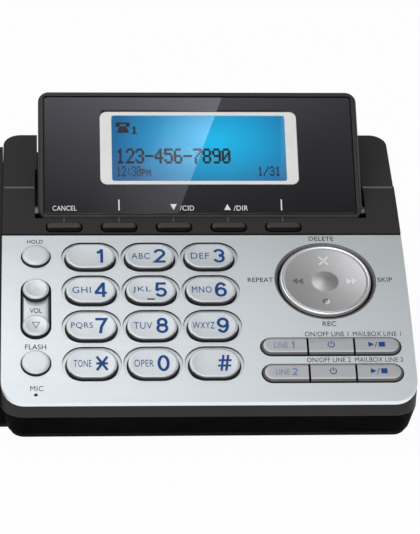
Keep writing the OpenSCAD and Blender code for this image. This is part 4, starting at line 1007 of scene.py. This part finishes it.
def stage():
    """Pale floor that shows as white, and keeps a trace of the object's shadow."""
    me = bpy.data.meshes.new("floor")
    me.from_pydata([(-4, -4, 0), (4, -4, 0), (4, 6, 0), (-4, 6, 0)], [], [(0, 1, 2, 3)])
    floor = add_object("floor", me)
    mat = bpy.data.materials.new("floor_white")
    mat.use_nodes = True
    t = mat.node_tree
    bsdf = t.nodes["Principled BSDF"]
    bsdf.inputs["Base Color"].default_value = grey(0.8)
    bsdf.inputs["Roughness"].default_value = 0.8
    ray = t.nodes.new("ShaderNodeLightPath").outputs
    seen = calc(t, "MAXIMUM", ray["Is Camera Ray"], ray["Is Glossy Ray"])
    seen = calc(t, "MAXIMUM", seen, ray["Is Transmission Ray"])
    seen = calc(t, "MULTIPLY", seen, 0.97)
    white = t.nodes.new("ShaderNodeEmission")
    mix = add_node(t, "ShaderNodeMixShader", seen, bsdf.outputs[0], white.outputs[0])
    t.links.new(mix.outputs[0], t.nodes["Material Output"].inputs["Surface"])
    me.materials.append(mat)


def reflector(name, x, y, z):
    """Level card of light over spans of x and y, seen by glossy rays only: its node tree and its glow."""
    me = bpy.data.meshes.new(name)
    corners = [(x[0], y[0], 0), (x[0], y[1], 0), (x[1], y[1], 0), (x[1], y[0], 0)]
    me.from_pydata(corners, [], [(0, 1, 2, 3)])
    card = add_object(name, me)
    card.location = (0, 0, z)
    card.visible_camera = card.visible_diffuse = card.visible_shadow = False
    mat = bpy.data.materials.new(name + "_glow")
    mat.use_nodes = True
    me.materials.append(mat)
    t = mat.node_tree
    t.nodes.remove(t.nodes["Principled BSDF"])
    glow = t.nodes.new("ShaderNodeEmission")
    t.links.new(glow.outputs[0], t.nodes["Material Output"].inputs["Surface"])
    return t, glow


def front_card():
    """Low card before the object, for the light line along the faceplate's front edge."""
    _, glow = reflector("front_card", (-0.3, 0.3), (-0.4, -0.063), 0.0006)
    glow.inputs["Strength"].default_value = 1.45


def ceiling():
    """Card over the object: the pale light that lies on the lens, the display window and the paint."""
    t, glow = reflector("ceiling", CARD_X, CARD_Y, CARD_Z)
    x, depth, _ = split(t, t.nodes.new("ShaderNodeTexCoord").outputs["Object"])
    slant = calc(t, "MULTIPLY_ADD", depth, SLANT, x)

    def levels(value, span, stops):
        low, high = span
        share = map_range(t, value, low, high)
        return colour_ramp(t, share, [((at - low) / (high - low), grey(v)) for at, v in stops])

    def times(a, b, gain=1.0):
        return calc(t, "MULTIPLY", calc(t, "MULTIPLY", a, b), gain)

    def plus(a, b):
        return calc(t, "ADD", a, b)

    def between(value, low, high):
        rise = map_range(t, value, low - WINDOW_BLUR, low)
        return times(rise, map_range(t, value, high + WINDOW_BLUR, high))

    def over(mask, below, above):
        return add_node(t, "ShaderNodeMix", Factor=mask, A=below, B=above).outputs["Result"]

    right = map_range(t, slant, DIAGONAL, DIAGONAL_END)
    lens_depth = levels(depth, LENS_Y, LENS_DEPTH)
    lens_left = times(levels(slant, LEFT_SPAN, LENS_LEFT), lens_depth, LENS_GAIN)
    lens_left = plus(lens_left, levels(slant, NEAR_SPAN, LENS_EDGE))
    lens_right = times(levels(slant, RIGHT_SPAN, LENS_RIGHT), lens_depth, RIGHT_GAIN)
    lens_right = plus(lens_right, RIGHT_FLOOR)
    window_peak = map_range(t, slant, WINDOW_PEAK_START, DIAGONAL)
    window_peak = times(window_peak, levels(depth, LENS_Y, WINDOW_DEPTH), WINDOW_GAIN)
    window_left = plus(levels(slant, NEAR_SPAN, WINDOW_LEFT), window_peak)
    panel = times(levels(x, CARD_X, PANEL_SIDE), levels(depth, PANEL_Y, PANEL_DEPTH), PANEL_GAIN)
    front_side = levels(x, CARD_X, FRONT_SIDE)
    in_window = times(between(x, *WINDOW_X), between(depth, *WINDOW_Y))
    in_panel, in_front = map_range(t, depth, *PANEL_START), map_range(t, depth, *FRONT_START)
    level = over(in_window, over(right, lens_left, lens_right), over(right, window_left, WINDOW_RIGHT))
    level = over(in_front, over(in_panel, level, panel), times(front_side, front_side, FRONT_GAIN))
    t.links.new(level, glow.inputs["Strength"])
    tint = add_node(t, "ShaderNodeMixRGB", plus(in_panel, in_front), LENS_TINT, PANEL_TINT)
    t.links.new(tint.outputs["Color"], glow.inputs["Color"])


def sky():
    """Plain world light, brighter from below and the sides than from above."""
    world = bpy.data.worlds.new("studio")
    scene.world = world
    world.use_nodes = True
    t = world.node_tree
    _, _, z = split(t, t.nodes.new("ShaderNodeTexCoord").outputs["Generated"])
    shade = colour_ramp(t, z, [(0.2, grey(1.0)), (0.5, grey(0.42))])
    t.links.new(shade, t.nodes["Background"].inputs["Color"])


def softbox():
    """Square lamp from the upper left front, aimed at the object and left out of reflections."""
    place, target = Vector((-0.6, -0.35, 1.2)), Vector((0.0, 0.0, 0.03))
    size, radiance = 1.1, 1.25
    data = bpy.data.lights.new("softbox", "AREA")
    data.shape = "RECTANGLE"
    data.size = data.size_y = size
    data.energy = radiance * math.pi * size ** 2
    ob = add_object("softbox", data)
    ob.location = place
    ob.rotation_euler = (target - place).to_track_quat("-Z", "Y").to_euler()
    ob.visible_glossy = False


def camera():
    """Camera at the photo's viewing angle: pitched down, then turned and rolled about its own axes."""
    data = bpy.data.cameras.new("camera")
    data.sensor_width = SENSOR
    data.lens = FOCAL * SENSOR / IMAGE_H
    data.clip_end = 20
    ob = add_object("camera", data)
    place = Vector(CAMERA_AT) + Vector((BASE_X, ARCH_Y, ARCH_Z))
    ob.matrix_world = (Matrix.Translation(place * MM)
                       @ Matrix.Rotation(math.pi / 2 - PITCH, 4, "X")
                       @ Matrix.Rotation(-YAW, 4, "Y")
                       @ Matrix.Rotation(ROLL, 4, "Z"))
    scene.camera = ob


finish_nodes()
for node, x, u, _, _ in dial_keys():
    dial_key(node, x, u)
round_key("hold_key", HOLD_U)
round_key("flash_key", FLASH_U)
rocker()
message_disc()
disc_collar()
well_painted_shades()
crease_highlights()
for n, kind in enumerate(("line", "power", "play")):
    for row in range(len(LINE_U)):
        line_key("%s%d_key" % (kind, row + 1), row, n)
for n in range(SOFT_COUNT):
    soft_key("soft_key_%d" % (n + 1), n)
letter_keys()
letter_panel()
letter_lines()
letter_rocker()
letter_disc()
letter_lens()
letter_lcd()
stage()
ceiling()
front_card()
sky()
softbox()
camera()
scene.view_settings.view_transform = "Standard"
